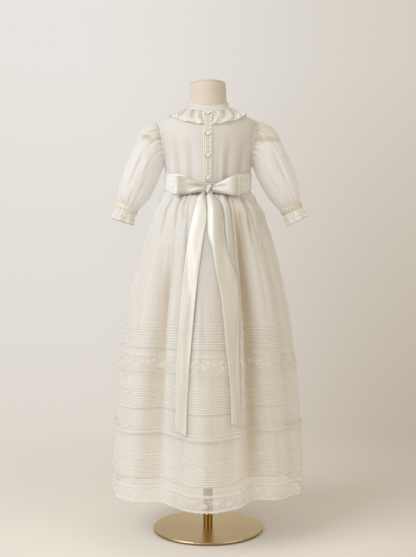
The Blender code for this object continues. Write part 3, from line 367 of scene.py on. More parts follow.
# How far a loop's front layer stands out from the sash, from the knot (0) to the outer fold (1), and how
# shaded it looks there.
LoopFront = namedtuple("LoopFront", "share out warm")
LOOP_FRONTS = {
    1: rows_of(LoopFront, [
        (0.00, 0.0075, 0.50),
        (0.14, 0.0112, 0.62),
        (0.28, 0.0124, 0.85),
        (0.44, 0.0092, 0.92),
        (0.56, 0.0064, 0.92),
        (0.70, 0.0070, 0.88),
        (0.82, 0.0096, 0.82),
        (0.89, 0.0124, 0.45),
        (0.94, 0.0136, 0.02),
        (0.98, 0.0126, 0.02),
        (1.00, 0.0066, 0.20),
    ]),
    -1: rows_of(LoopFront, [
        (0.00, 0.0070, 0.85),
        (0.07, 0.0078, 0.80),
        (0.16, 0.0090, 0.10),
        (0.32, 0.0115, 0.0),
        (0.52, 0.0148, 0.0),
        (0.66, 0.0146, 0.0),
        (0.76, 0.0124, 0.30),
        (0.84, 0.0108, 0.75),
        (0.93, 0.0096, 0.80),
        (0.98, 0.0096, 0.40),
        (1.00, 0.0060, 0.30),
    ]),
}

# A tail's two edges, how far its ridge stands out, where the ridge lies from the right edge (0) to the
# left edge (1), and how shaded it looks to the left and to the right of the ridge.
TailRow = namedtuple("TailRow", "height left_x right_x ridge_out ridge_share left_warm right_warm")
TAILS = {
    "left": rows_of(TailRow, [
        (0.6900, 0.0080, 0.0020, 0.0010, 0.45, 0.55, 0.75),
        (0.6783, 0.0174, 0.0067, 0.0022, 0.50, 0.12, 0.40),
        (0.6568, 0.0241, 0.0037, 0.0022, 0.55, 0.06, 0.14),
        (0.6299, 0.0307, 0.0027, 0.0018, 0.55, 0.08, 0.14),
        (0.6027, 0.0364, 0.0075, 0.0014, 0.55, 0.12, 0.16),
        (0.5698, 0.0411, 0.0122, 0.0012, 0.50, 0.18, 0.18),
        (0.5084, 0.0480, 0.0205, 0.0010, 0.50, 0.28, 0.26),
        (0.4129, 0.0554, 0.0297, 0.0008, 0.50, 0.34, 0.36),
        (0.2892, 0.0608, 0.0385, 0.0008, 0.50, 0.38, 0.42),
        (0.2260, 0.0603, 0.0404, 0.0006, 0.50, 0.38, 0.44),
    ]),
    "right": rows_of(TailRow, [
        (0.6900, 0.0015, -0.0055, 0.0010, 0.60, 0.55, 0.80),
        (0.6763, 0.0018, -0.0129, 0.0034, 0.60, 0.10, 0.70),
        (0.6685, 0.0014, -0.0195, 0.0050, 0.62, 0.05, 0.75),
        (0.6568, 0.0010, -0.0255, 0.0062, 0.64, 0.05, 0.75),
        (0.6158, 0.0006, -0.0311, 0.0064, 0.68, 0.10, 0.75),
        (0.5965, -0.0010, -0.0325, 0.0060, 0.72, 0.15, 0.75),
        (0.5776, -0.0066, -0.0350, 0.0054, 0.84, 0.25, 0.75),
        (0.5505, -0.0110, -0.0430, 0.0044, 0.90, 0.45, 0.76),
        (0.5300, -0.0140, -0.0520, 0.0036, 0.94, 0.60, 0.76),
        (0.4850, -0.0232, -0.0592, 0.0028, 0.94, 0.66, 0.78),
        (0.3886, -0.0330, -0.0585, 0.0020, 0.92, 0.66, 0.80),
        (0.3100, -0.0415, -0.0600, 0.0014, 0.90, 0.60, 0.78),
        (0.2410, -0.0438, -0.0614, 0.0010, 0.88, 0.55, 0.75),
    ]),
}
TAIL_CLEARANCE, TAIL_TOP_DEPTH, TAIL_LOW_DEPTH = 0.0011, 0.0800, 0.0762
# How much more clearance a tail has over the lace insertion and over the tier ribbon: how much, at what
# height, and how far up and down from there.
TAIL_OVER_TRIM = ((0.0011, 0.350, 0.030), (0.0014, 0.222, 0.022))
TAIL_SLANT, TAIL_PHASE = {"left": -0.0110, "right": -0.0090}, {"left": 1.0, "right": 2.4}

FORM = rows_of(Section, [
    (0.5500, 0.0650, 0.0540),
    (0.5750, 0.0750, 0.0615),
    (0.6300, 0.0785, 0.0640),
    (0.7000, 0.0808, 0.0658),
    (0.7350, 0.0831, 0.0671),
    (0.7700, 0.0885, 0.0675),
    (0.8000, 0.0943, 0.0655),
    (0.8240, 0.0962, 0.0602),
    (0.8385, 0.0925, 0.0528),
    (0.8470, 0.0735, 0.0480),
    (0.8550, 0.0588, 0.0447),
    (0.8610, 0.0422, 0.0422),
    (0.8704, 0.0400, 0.0400),
    (0.8860, 0.0374, 0.0374),
    (0.9120, 0.0354, 0.0354),
    (0.9185, 0.0325, 0.0325),
    (0.9199, 0.0270, 0.0270),
])

# ---------------------------------------------------------------- camera and backdrop
CAMERA_PLACE = (0.0, 1.683, 0.515)
FOCAL_PIXELS, IMAGE_HEIGHT, SENSOR = 817.0, 557, 36.0
# Linear colours of the studio: high and low, near the key light and away from it.
BACKDROP_LIT, BACKDROP_SHADED = (0.805, 0.783, 0.742), (0.660, 0.610, 0.540)
BACKDROP_LOW_LIT, BACKDROP_LOW_SHADED = (0.725, 0.675, 0.610), (0.465, 0.405, 0.318)


# ---------------------------------------------------------------- numbers
def mix(low, high, share):
    """The value a share of the way from low to high."""
    return low + (high - low) * share


def ease(low, high, value):
    """0 at low and 1 at high with a smooth start and end. low may be the larger one."""
    share = np.clip((value - low) / (high - low), 0.0, 1.0)
    return share * share * (3.0 - 2.0 * share)


def bell(distance, half_width):
    """1 in the middle of a crease and 0 from half_width on."""
    share = np.minimum(1.0, np.abs(distance) / half_width)
    return 0.5 * (1.0 + np.cos(math.pi * share))


def turn_between(angle, other):
    """The signed turn from other to angle, from -180 to 180 degrees."""
    return (angle - other + 180.0) % 360.0 - 180.0


def smooth(places, values, at):
    """Values at rising places, joined by a smooth curve and read at other places."""
    places, values = np.asarray(places, float), np.asarray(values, float)
    slopes = np.gradient(values, places, axis=0)
    at = np.asarray(at, float)
    low = np.clip(np.searchsorted(places, at) - 1, 0, len(places) - 2)
    width = places[low + 1] - places[low]
    share = np.clip((at - places[low]) / width, 0.0, 1.0)
    extra = (1,) * (values.ndim - 1)
    share, width = share.reshape(share.shape + extra), width.reshape(width.shape + extra)
    rest = 1.0 - share
    ends = (1.0 + 2.0 * share) * rest ** 2 * values[low] + share ** 2 * (3.0 - 2.0 * share) * values[low + 1]
    return ends + width * (share * rest ** 2 * slopes[low] - share ** 2 * rest * slopes[low + 1])


def read_table(table, column, at, by="height"):
    """A table's column at places in another of its columns, on a smooth curve through its rows."""
    rows = sorted(table, key=lambda row: getattr(row, by))
    return smooth([getattr(row, by) for row in rows], [getattr(row, column) for row in rows], at)


def on_ellipse(angle, half_width, half_depth, height):
    """Points at angles round the gown on level ellipses."""
    turn = np.radians(angle)
    parts = np.broadcast_arrays(half_width * np.sin(turn), half_depth * np.cos(turn), height)
    return np.stack(parts, axis=-1)


def on_sections(table, angle, height, inward=0.0, rise=0.0):
    """Points at angles round a table of level sections, taken in by inward and lifted by rise."""
    half_width = read_table(table, "half_width", height) - inward
    half_depth = read_table(table, "half_depth", height) - inward
    return on_ellipse(angle, half_width, half_depth, height + rise)


def all_round(count):
    """So many even angles from 0 to 360 degrees, the last left out."""
    return np.linspace(0.0, 360.0, count, endpoint=False)


def closing(ring):
    """A ring with its first point once more at its end."""
    return np.concatenate((ring, ring[:1]))


def travelled(line):
    """How far along a line each of its points lies."""
    return np.concatenate(([0.0], np.cumsum(np.linalg.norm(np.diff(line, axis=0), axis=1))))


def by_turns(index):
    """-1 and 1 by turns, for motifs that lean either way."""
    return 1.0 if index % 2 else -1.0


def unit(vectors):
    """Vectors made one long."""
    return vectors / np.maximum(np.linalg.norm(vectors, axis=-1, keepdims=True), 1e-12)


def uneven(place, rate):
    """A slow wander between -1 and 1 that doesn't repeat soon."""
    return 0.6 * np.sin(rate * place + 0.7) + 0.4 * np.sin(2.37 * rate * place + 2.1)


# ---------------------------------------------------------------- surfaces
def bodice_hollow(angle, height):
    """Depth of the bodice's soft upright hollows."""
    depth = sum(f.depth * bell(turn_between(angle, f.angle), f.half_width) for f in BODICE_FOLDS)
    return depth * ease(BODICE_FOLD_TOP_Z, BODICE_FOLD_FULL_Z, height)


def torso(angle, height, lift=0.0):
    """The outer face of the bodice, moved out by lift."""
    angle, height = np.broadcast_arrays(np.asarray(angle, float), np.asarray(height, float))
    return on_sections(TORSO, angle, height, bodice_hollow(angle, height) - lift)


def beside(surface, angle, height, distance):
    """A surface's points, moved along its normals."""
    across = surface(angle + 1.0, height) - surface(angle - 1.0, height)
    upward = surface(angle, height + 0.001) - surface(angle, height - 0.001)
    return surface(angle, height) + np.asarray(distance, float)[..., None] * unit(np.cross(upward, across))


def neckline_height(angle):
    """Height of the neckline's seam."""
    facing = np.cos(np.radians(angle))
    return NECKLINE_Z - facing * facing * np.where(facing > 0.0, NECKLINE_BACK_DIP, NECKLINE_FRONT_DIP)


def fold_shape(angle, height, warm=False):
    """The sum of the main folds' cross-sections: how deep they are, or how much painted shade they have."""
    total = 0.0
    opened = ease(FOLD_OPEN_Z, FOLD_HEM_Z, height)
    for fold in SKIRT_FOLDS:
        middle = mix(fold.hem_angle, fold.waist_angle, ease(FOLD_TURN_Z, WAIST_Z, height))
        away = turn_between(angle, middle)
        side = np.where(away > 0.0, fold.left, fold.right)
        side = mix(side, np.maximum(side, FOLD_OPEN_SIDE), opened)
        if warm:
            tone = mix(fold.warm, fold.warm * fold.hem_depth / fold.depth, opened)
            tone = tone * ease(fold.warm_z, fold.warm_z - 0.10, height)
            total = total + tone * bell(away, 0.85 * side)
        else:
            total = total + mix(fold.depth, fold.hem_depth, opened) * bell(away, side)
    return total


def crease_depth(angle, height):
    """Depth of the smaller creases, which fade in and out along their length."""
    total = 0.0
    for crease in SKIRT_CREASES:
        middle = mix(crease.low_angle, crease.top_angle, ease(crease.low_z, crease.top_z, height))
        reach = crease.top_z - crease.low_z
        fade = ease(crease.low_z, crease.low_z + 0.45 * reach, height)
        fade = fade * ease(crease.top_z, crease.top_z - min(0.02, 0.3 * reach), height)
        total = total + crease.depth * fade * bell(turn_between(angle, middle), crease.half_width)
    return total


def gather_depth(angle, height):
    """Depth of the small gathers at the waist."""
    full = GATHER_DEPTH * ease(GATHER_START_Z, GATHER_FULL_Z, height)
    full = full * ease(GATHER_END_Z, GATHER_FULL_Z, height)
    total = 0.0
    for index in range(GATHER_COUNT):
        middle = 360.0 * index / GATHER_COUNT + 2.6 * math.sin(2.4 * index)
        total = total + bell(turn_between(angle, middle), 180.0 / GATHER_COUNT)
    return full * total


def hem_rise(angle, height):
    """How much higher than elsewhere the skirt hangs at an angle."""
    rows = HEM_RISES[-2:] + HEM_RISES + HEM_RISES[:2]
    turns = [row.angle for row in rows]
    turns[:2] = [turn - 360.0 for turn in turns[:2]]
    turns[-2:] = [turn + 360.0 for turn in turns[-2:]]
    place = HEM_RISES[0].angle + (angle - HEM_RISES[0].angle) % 360.0
    return smooth(turns, [row.rise for row in rows], place) * ease(RISE_START_Z, RISE_FULL_Z, height)


def ripple(angle, height):
    """Faint unevenness of hanging cloth, which grows towards the hem."""
    wave = uneven(angle + 14.0 * height, 0.31) + 0.5 * uneven(angle - 22.0 * height, 0.83)
    return 0.0007 * wave * ease(0.66, 0.40, height)


def skirt(angle, height, inset=0.0, gathers=1.0):
    """The skirt's outer face, or a surface inside it by inset. A negative inset stands proud."""
    angle, height = np.broadcast_arrays(np.asarray(angle, float), np.asarray(height, float))
    full = ease(FOLD_START_Z, FOLD_FULL_Z, height)
    inward = inset + full * fold_shape(angle, height) + crease_depth(angle, height)
    inward = inward + gathers * gather_depth(angle, height) + ripple(angle, height)
    sideways = ease(0.74, 0.97, np.abs(np.sin(np.radians(angle))))
    spring = mix(BACK_SPRING * bell(height - BACK_SPRING_Z, BACK_SPRING_REACH),
                 SIDE_SPRING * bell(height - SIDE_SPRING_Z, SIDE_SPRING_REACH), sideways)
    return on_sections(SKIRT, angle, height, inward - spring, hem_rise(angle, height))


def skirt_painted_shade(angle, height):
    """Painted shade, in tan, on the skirt: in its deep folds, in the bottoms of its creases and gathers, and
    on broad stretches.
    """
    inside = np.maximum(0.0, crease_depth(angle, height) + gather_depth(angle, height) - 0.0018)
    warm = fold_shape(angle, height, warm=True) ** 1.4 + np.minimum(120.0 * inside, 0.55)
    for tone in SKIRT_SHADE_STRETCHES:
        reach = tone.strength * ease(tone.start_z, tone.full_z, height)
        warm = warm + reach * bell(turn_between(angle, tone.angle), tone.half_width)
    return np.clip(warm, 0.0, 1.0)


# ---------------------------------------------------------------- meshes
def add_mesh(name, points, faces, material, corner_uv, **layers):
    """A smooth piece from arrays, with UVs in metres and named point layers, riding on the part."""
    mesh = bpy.data.meshes.new(name)
    mesh.from_pydata(np.asarray(points, float).reshape(-1, 3).tolist(), [], np.asarray(faces).tolist())
    mesh.update()
    layer = mesh.uv_layers.new(name="cloth")
    layer.data.foreach_set("uv", np.asarray(corner_uv, np.float32).ravel())
    for layer_name, values in layers.items():
        attribute = mesh.attributes.new(layer_name, "FLOAT", "POINT")
        attribute.data.foreach_set("value", np.asarray(values, np.float32).ravel())
    mesh.shade_smooth()
    mesh.materials.append(material)
    piece = bpy.data.objects.new(name, mesh)
    bpy.context.scene.collection.objects.link(piece)
    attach(piece, "root")
    return piece


def grid_faces(rows, columns, closed):
    """Corner indices of a grid's squares, row by row, and each corner's row and column."""
    wide = columns if closed else columns - 1
    row, column = np.meshgrid(np.arange(rows - 1), np.arange(wide), indexing="ij")
    row, column = row.ravel(), column.ravel()
    corner_rows = np.stack((row, row + 1, row + 1, row), axis=1)
    corner_columns = np.stack((column, column, column + 1, column + 1), axis=1)
    return corner_rows * columns + corner_columns % columns, corner_rows, corner_columns


def grid_uv(points, closed):
    """Lengths along and across a grid, in metres, with one more column where it is closed."""
    ring = np.concatenate((points, points[:, :1]), axis=1) if closed else points
    across = np.linalg.norm(np.diff(ring, axis=1), axis=2).mean(axis=0)
    along = np.linalg.norm(np.diff(points, axis=0), axis=2).mean(axis=1)
    return np.concatenate(([0.0], np.cumsum(across))), np.concatenate(([0.0], np.cumsum(along)))


def add_cloth(name, points, material, closed=False, outward=True, **layers):
    """A sheet of cloth from a grid of points, top row first and columns towards the wearer's left. Its layers
    say where it lies double (dense) and how tan it is (the other layer), mostly painted shade, from 0 to 1."""
    rows, columns = points.shape[:2]
    faces, corner_rows, corner_columns = grid_faces(rows, columns, closed)
    u, v = grid_uv(points, closed)
    corner_uv = np.stack((u[corner_columns], -v[corner_rows]), axis=-1)
    if not outward:
        faces, corner_uv = faces[:, ::-1], corner_uv[:, ::-1]
    layers = {layer: np.broadcast_to(values, (rows, columns)) for layer, values in layers.items()}
    return add_mesh(name, points, faces, material, corner_uv, **layers)


def wear(node):
    """Hides the node that a sheet of cloth stands for."""
    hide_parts(node)


def thicken(piece, thickness):
    """Gives a sheet its thickness, inwards."""
    shell = piece.modifiers.new("thickness", "SOLIDIFY")
    shell.thickness = thickness
    shell.offset = -1.0


def tube_arrays(line, radius, closed=False, sides=6):
    """Points, faces and UVs of a thin tube along a line."""
    line = np.asarray(line, float)
    if closed:
        ahead = np.roll(line, -1, axis=0) - np.roll(line, 1, axis=0)
    else:
        ahead = np.gradient(line, axis=0)
    ahead = unit(ahead)
    side = unit(np.cross(ahead, np.where(np.abs(ahead[:, 2:3]) > 0.9, (1.0, 0.0, 0.0), (0.0, 0.0, 1.0))))
    up = np.cross(side, ahead)
    turn = 2.0 * math.pi * np.arange(sides) / sides
    radius = np.broadcast_to(np.asarray(radius, float), (len(line),))
    ring = np.cos(turn)[None, :, None] * side[:, None] + np.sin(turn)[None, :, None] * up[:, None]
    points = line[:, None] + radius[:, None, None] * ring
    rows = len(line) + 1 if closed else len(line)
    row, column = np.meshgrid(np.arange(rows - 1), np.arange(sides), indexing="ij")
    row, column = row.ravel(), column.ravel()
    above, beyond = (row + 1) % len(line), (column + 1) % sides
    faces = np.stack((row * sides + column, row * sides + beyond, above * sides + beyond,
                      above * sides + column), axis=1)
    lengths = np.concatenate((travelled(line), [0.0]))
    corner_uv = np.stack((
        np.stack((lengths[row], lengths[row], lengths[row + 1], lengths[row + 1]), axis=1),
        np.stack((column, column + 1, column + 1, column), axis=1) * 0.001,
    ), axis=-1)
    points = points.reshape(-1, 3)
    if not closed and sides == 6:
        last = (len(line) - 1) * sides
        caps = ((0, 3, 2, 1), (0, 5, 4, 3), (last, last + 1, last + 2, last + 3),
                (last, last + 3, last + 4, last + 5))
        faces = np.concatenate((faces, caps))
        corner_uv = np.concatenate((corner_uv, np.zeros((len(caps), 4, 2))))
    return points, faces, corner_uv


def round_thread(ring, radius):
    """A thin thread all the way round."""
    return tube_arrays(ring, radius, closed=True, sides=4)


def add_joined(name, parts, material):
    """One piece of trim from many sets of points, faces and UVs."""
    points, faces, corner_uv, start = [], [], [], 0
    for part_points, part_faces, part_uv in parts:
        points.append(part_points)
        faces.append(np.asarray(part_faces) + start)
        corner_uv.append(part_uv)
        start += len(part_points)
    piece = add_mesh(name, np.concatenate(points), np.concatenate(faces), material,
                     np.concatenate(corner_uv).reshape(-1, 2))


# ---------------------------------------------------------------- embroidery
def petal(length, width, height, turn, start):
    """A small domed petal or leaf in the plane: across, along and height above the cloth."""
    share = np.linspace(0.0, 1.0, 5)
    half = 0.5 * width * np.sin(math.pi * share) ** 0.75
    along = start + length * share
    dome = height * np.sin(math.pi * share) ** 0.5
    cross = np.array([-1.0, 0.0, 1.0])
    u = half[:, None] * cross
    v = np.repeat(along[:, None], 3, axis=1)
    h = dome[:, None] * np.array([0.15, 1.0, 0.15])
    turn = math.radians(turn)
    x, y = u * math.cos(turn) + v * math.sin(turn), v * math.cos(turn) - u * math.sin(turn)
    return np.stack((x, y, h), axis=-1).reshape(-1, 3), grid_faces(5, 3, False)[0]


def moved(shape, across, along):
    """A flat shape moved in the plane of the cloth."""
    points, faces = shape
    return points + (across, along, 0.0), faces


def joined(shapes):
    """Several flat shapes as one."""
    points, faces, start = [], [], 0
    for part_points, part_faces in shapes:
        points.append(part_points)
        faces.append(part_faces + start)
        start += len(part_points)
    return np.concatenate(points), np.concatenate(faces)


def blossom(size, petals=5, turn=0.0):
    """An ordinary small flower of a few petals round a knot."""
    shapes = [petal(0.5 * size, 0.34 * size, 0.0006, turn + 360.0 * i / petals, 0.05 * size)
              for i in range(petals)]
    shapes.append(petal(0.22 * size, 0.22 * size, 0.0009, turn, -0.11 * size))
    return joined(shapes)


def stem(reach, bend):
    """A thin embroidered stem that bends to one side."""
    share = np.linspace(0.0, 1.0, 7)[:, None]
    cross = np.array([-0.00025, 0.0, 0.00025])
    parts = np.broadcast_arrays(reach * share, bend * np.sin(math.pi * share) + cross, (0.0, 0.0003, 0.0))
    return np.stack(parts, axis=-1).reshape(-1, 3), grid_faces(7, 3, False)[0][:, ::-1]


def sprig(size, flip=1.0):
    """A flower with leaves on a bent stem, about size wide."""
    shapes = [moved(blossom(0.52 * size, turn=12.0), -0.16 * size, flip * 0.05 * size)]
    shapes.append(moved(stem(0.62 * size, flip * 0.10 * size), -0.12 * size, 0.0))
    for place, turn, length in ((0.12, 20, 0.24), (0.20, 150, 0.22), (0.32, 35, 0.22), (0.40, 140, 0.20)):
        leaf = petal(length * size, 0.11 * size, 0.0005, turn if flip > 0 else 180 - turn, 0.0)
        shapes.append(moved(leaf, place * size - 0.06 * size, flip * 0.07 * size))
    shapes.append(moved(blossom(0.24 * size, petals=4, turn=30.0), 0.44 * size, flip * 0.02 * size))
    return joined(shapes)


def stamp(shape, surface, u, v, lift=0.0003, facing=-1.0):
    """A flat shape laid on a surface that is read in metres across and along. facing is 1 where across,
    along and outward go together like the fingers of a right hand, and -1 where they don't."""
    points, faces = shape
    across, along = u + points[:, 0], v + points[:, 1]
    step = 0.0006
    here = surface(across, along)
    normal = unit(np.cross(surface(across + step, along) - here, surface(across, along + step) - here))
    laid = here + facing * (points[:, 2] + lift)[:, None] * normal
    faces = faces if facing > 0.0 else faces[:, ::-1]
    corner_uv = np.stack((across, along), axis=-1)[faces]
    return laid, faces, corner_uv


def picot_loops(line, outward, pitch, size):
    """Small thread loops along an edge, as parts of one piece."""
    lengths = travelled(line)
    count = int(lengths[-1] / pitch)
    turn = np.linspace(0.0, math.pi, 6)[:, None]

    def read(values, place):
        return np.array([np.interp(place, lengths, values[:, axis]) for axis in range(3)])

    parts = []
    for index in range(count):
        place = (index + 0.5) * lengths[-1] / count
        along = unit(read(line, place + 0.3 * pitch) - read(line, place - 0.3 * pitch))
        reach = size * (1.0 + 0.15 * math.sin(2.3 * index))
        loop = read(line, place) + 0.36 * pitch * np.cos(turn) * along
        loop = loop + reach * np.sin(turn) * unit(read(outward, place))
        parts.append(tube_arrays(loop, 0.00028, sides=4))
    return parts


# ---------------------------------------------------------------- materials
class Look:
    """The nodes of a material or of the world, added one by one."""

    def __init__(self, name, kind="materials"):
        self.block = getattr(bpy.data, kind).new(name)
        self.block.use_nodes = True
        self.tree = self.block.node_tree
        self.tree.nodes.clear()

    def add(self, kind, inputs=None, **settings):
        """A node with its settings, and inputs by name or number: a value, or a socket to link."""
        node = self.tree.nodes.new(kind)
        for name, value in settings.items():
            setattr(node, name, value)
        for key, value in (inputs or {}).items():
            socket = node.inputs[key]
            if isinstance(value, bpy.types.NodeSocket):
                self.tree.links.new(value, socket)
            else:
                socket.default_value = value
        return node

    def place(self, scale, source="UV"):
        """Coordinates: the cloth's UVs in metres, or the object's, times a scale."""
        coordinates = self.add("ShaderNodeTexCoord").outputs[source]
        return self.add("ShaderNodeMapping", {"Vector": coordinates, "Scale": scale}).outputs["Vector"]

    def noise(self, scale, detail=2.0, source="UV", roughness=0.5):
        """Noise from 0 to 1 with so many cells a metre in each direction."""
        inputs = {"Vector": self.place(scale, source), "Scale": 1.0, "Detail": detail, "Roughness": roughness}
        return self.add("ShaderNodeTexNoise", inputs).outputs["Fac"]

    def bands(self, per_metre, axis, source="UV", distortion=0.0):
        """Even bands, for threads."""
        inputs = {"Vector": self.place((1.0, 1.0, 1.0), source), "Scale": per_metre / (2.0 * math.pi),
                  "Distortion": distortion}
        return self.add("ShaderNodeTexWave", inputs, bands_direction=axis, wave_profile="SIN").outputs["Fac"]

    def maths(self, operation, first, second=0.0, third=0.0, clamp=False):
        """A sum of one, two or three numbers."""
        node = self.add("ShaderNodeMath", {0: first, 1: second, 2: third}, operation=operation)
        node.use_clamp = clamp
        return node.outputs[0]

    def scaled(self, value, low, high):
        """A number from 0 to 1 brought between low and high."""
        return self.maths("MULTIPLY_ADD", value, high - low, low)

    def layer(self, name):
        """A point layer of the mesh."""
        return self.add("ShaderNodeAttribute", attribute_name=name).outputs["Fac"]

    def colour(self, share, low, high):
        """A colour between two colours."""
        node = self.add("ShaderNodeMix", data_type="RGBA")
        for key, value in ((0, share), (6, low), (7, high)):
            if isinstance(value, bpy.types.NodeSocket):
                self.tree.links.new(value, node.inputs[key])
            else:
                node.inputs[key].default_value = (*value, 1.0) if key else value
        return node.outputs[2]

    def ramp(self, value, low, high, **settings):
        """0 at low and 1 at high. low may be the larger one."""
        inputs = {"Value": value, "From Min": low, "From Max": high}
        return self.add("ShaderNodeMapRange", inputs, **settings).outputs[0]

    def round_axis(self):
        """The object's coordinates one by one, and the distance from its upright axis."""
        place = self.add("ShaderNodeTexCoord").outputs["Object"]
        parts = self.add("ShaderNodeSeparateXYZ", {0: place}).outputs
        square = self.maths("MULTIPLY_ADD", parts[0], parts[0], self.maths("MULTIPLY", parts[1], parts[1]))
        return parts, self.maths("SQRT", square)

    def bump(self, height, strength, distance):
        """A bumped normal."""
        inputs = {"Height": height, "Strength": strength, "Distance": distance}
        return self.add("ShaderNodeBump", inputs).outputs["Normal"]

    def blend(self, share, first, second):
        """Two shaders mixed."""
        return self.add("ShaderNodeMixShader", {0: share, 1: first, 2: second}).outputs[0]

    def cloth(self, through_share, inputs, **through):
        """Cloth that lets a share of the light through in its own colour."""
        lit = self.add("ShaderNodeBsdfPrincipled", inputs).outputs[0]
        through = self.add("ShaderNodeBsdfTranslucent", {"Color": inputs["Base Color"], **through}).outputs[0]
        return self.blend(through_share, lit, through)

    def sheer(self, covered, cloth):
        """Cloth as far as it covers, and clear between its threads."""
        return self.blend(covered, self.add("ShaderNodeBsdfTransparent").outputs[0], cloth)

    def finish(self, shader):
        """Ends the material with a shader."""
        self.add("ShaderNodeOutputMaterial", {"Surface": shader})
        return self.block


WHITE_CLOTH = (0.900, 0.895, 0.880)
# The tan that the point layer paints as shade, and in a few places as a tone of the cloth's own.
SHADE_AND_TONE_TAN = (0.70, 0.585, 0.400)


def weave(look, per_metre):
    """Height of a plain weave: threads across and along."""
    across, along = look.bands(per_metre, "X"), look.bands(per_metre, "Y")
    return look.maths("MULTIPLY_ADD", across, along, look.maths("MULTIPLY", across, 0.3))


def make_organza(name, coverage, dense_coverage=0.93, white=WHITE_CLOTH, tan=SHADE_AND_TONE_TAN):
    """Sheer crisp cloth. Point layers say where it lies double and where it is tan: mostly painted shade, and
    in a few places a tone of its own.
    """
    look = Look(name)
    slub = look.noise((520.0, 14.0, 1.0), 3.0)
    cloudy = look.noise((26.0, 18.0, 1.0), 2.0)
    # The point layer paints shade, in tan, into the colour, and on the placket holds a tan tone of its own;
    # slubs add a little tan too.
    warm = look.maths("MULTIPLY_ADD", slub, 0.10, look.layer("warm"), clamp=True)
    base = look.colour(warm, white, tan)
    base = look.colour(look.scaled(cloudy, 0.0, 0.14), base, (0.86, 0.82, 0.77))
    normal = look.bump(look.maths("ADD", weave(look, 2600.0), look.scaled(slub, 0.0, 2.0)), 0.16, 0.0004)
    cloth = look.cloth(0.30, {
        "Base Color": base, "Roughness": 0.52, "Specular IOR Level": 0.35, "Sheen Weight": 0.25,
        "Sheen Roughness": 0.4, "Normal": normal,
    }, Normal=normal)
    open_share = look.scaled(slub, coverage - 0.07, coverage + 0.07)
    open_share = look.maths("MULTIPLY_ADD", look.layer("warm"), -0.12, open_share)
    covered = look.add("ShaderNodeMix", {0: look.layer("dense"), 2: open_share, 3: dense_coverage})
    return look.finish(look.sheer(covered.outputs[0], cloth))


def make_net(name, coverage):
    """Fine hexagonal net under the embroidery of lace, denser where the point layer says so."""
    look = Look(name)
    cells = look.add("ShaderNodeTexVoronoi", {"Vector": look.place((1150.0, 1000.0, 1.0)), "Scale": 1.0,
                                              "Randomness": 0.25}, feature="DISTANCE_TO_EDGE")
    thread = look.maths("LESS_THAN", cells.outputs["Distance"], 0.16)
    cloudy = look.noise((300.0, 300.0, 1.0), 2.0)
    # The point layer paints shade, in tan, from the skirt's folds and the cuff's pleats; on the insertion it
    # also holds an even tan tone.
    base = look.colour(look.maths("MULTIPLY", look.layer("warm"), 0.8), (0.92, 0.91, 0.88), SHADE_AND_TONE_TAN)
    cloth = look.cloth(0.30, {
        "Base Color": base, "Roughness": 0.7, "Specular IOR Level": 0.25, "Sheen Weight": 0.2,
        "Normal": look.bump(thread, 0.4, 0.0002),
    })
    share = look.maths("MULTIPLY_ADD", thread, 0.45, look.scaled(cloudy, coverage - 0.22, coverage + 0.10),
                       clamp=True)
    covered = look.add("ShaderNodeMix", {0: look.layer("dense"), 2: share, 3: 0.94})
    return look.finish(look.sheer(covered.outputs[0], cloth))


def make_thread(name, colour=(0.945, 0.935, 0.900), clouded=(0.88, 0.85, 0.77), open_share=0.0):
    """Glossy embroidery thread and rolled edges. open_share is what shows between loose stitches."""
    look = Look(name)
    twist = look.bands(2200.0, "X", distortion=0.4)
    cloudy = look.noise((200.0, 200.0, 1.0), 2.0)
    base = look.colour(look.scaled(cloudy, 0.0, 0.35), colour, clouded)
    cloth = look.cloth(0.15, {
        "Base Color": base, "Roughness": 0.48, "Specular IOR Level": 0.4, "Sheen Weight": 0.3,
        "Normal": look.bump(twist, 0.35, 0.0002),
    })
    if open_share:
        cloth = look.blend(open_share, cloth, look.add("ShaderNodeBsdfTransparent").outputs[0])
    return look.finish(cloth)


def make_lining(name):
    """Thin plain lining, creamy white, with painted shade in tan where its point layer says."""
    look = Look(name)
    slub = look.noise((700.0, 30.0, 1.0), 3.0)
    base = look.colour(look.layer("warm"), (0.89, 0.88, 0.86), (0.64, 0.51, 0.34))
    base = look.colour(look.scaled(slub, 0.0, 0.2), base, (0.84, 0.81, 0.77))
    normal = look.bump(weave(look, 2200.0), 0.12, 0.0003)
    cloth = look.cloth(0.25, {
        "Base Color": base, "Roughness": 0.75, "Specular IOR Level": 0.25, "Normal": normal,
    }, Normal=normal)
    return look.finish(look.sheer(look.scaled(slub, 0.78, 0.92), cloth))


def make_satin(name):
    """Soft satin ribbon with fine cross ribs and a silky gloss."""
    look = Look(name)
    streak = look.noise((900.0, 24.0, 1.0), 3.0)
    cloudy = look.noise((60.0, 60.0, 1.0), 2.0)
    base = look.colour(look.scaled(cloudy, 0.0, 0.4), (0.848, 0.846, 0.815), (0.82, 0.79, 0.735))
    # The point layer paints shade, in tan, where the ribbon is turned from the light or lies in folds; on the
    # sash it also holds a random tone of its own.
    base = look.colour(look.layer("warm"), base, (0.565, 0.525, 0.445))
    rough = look.scaled(streak, 0.30, 0.44)
    normal = look.bump(look.maths("ADD", streak, look.bands(3000.0, "Y")), 0.10, 0.0003)
    return look.finish(look.cloth(0.08, {
        "Base Color": base, "Roughness": rough, "Specular IOR Level": 0.55, "Sheen Weight": 0.10,
        "Sheen Roughness": 0.35, "Anisotropic": 0.45, "Normal": normal,
    }))


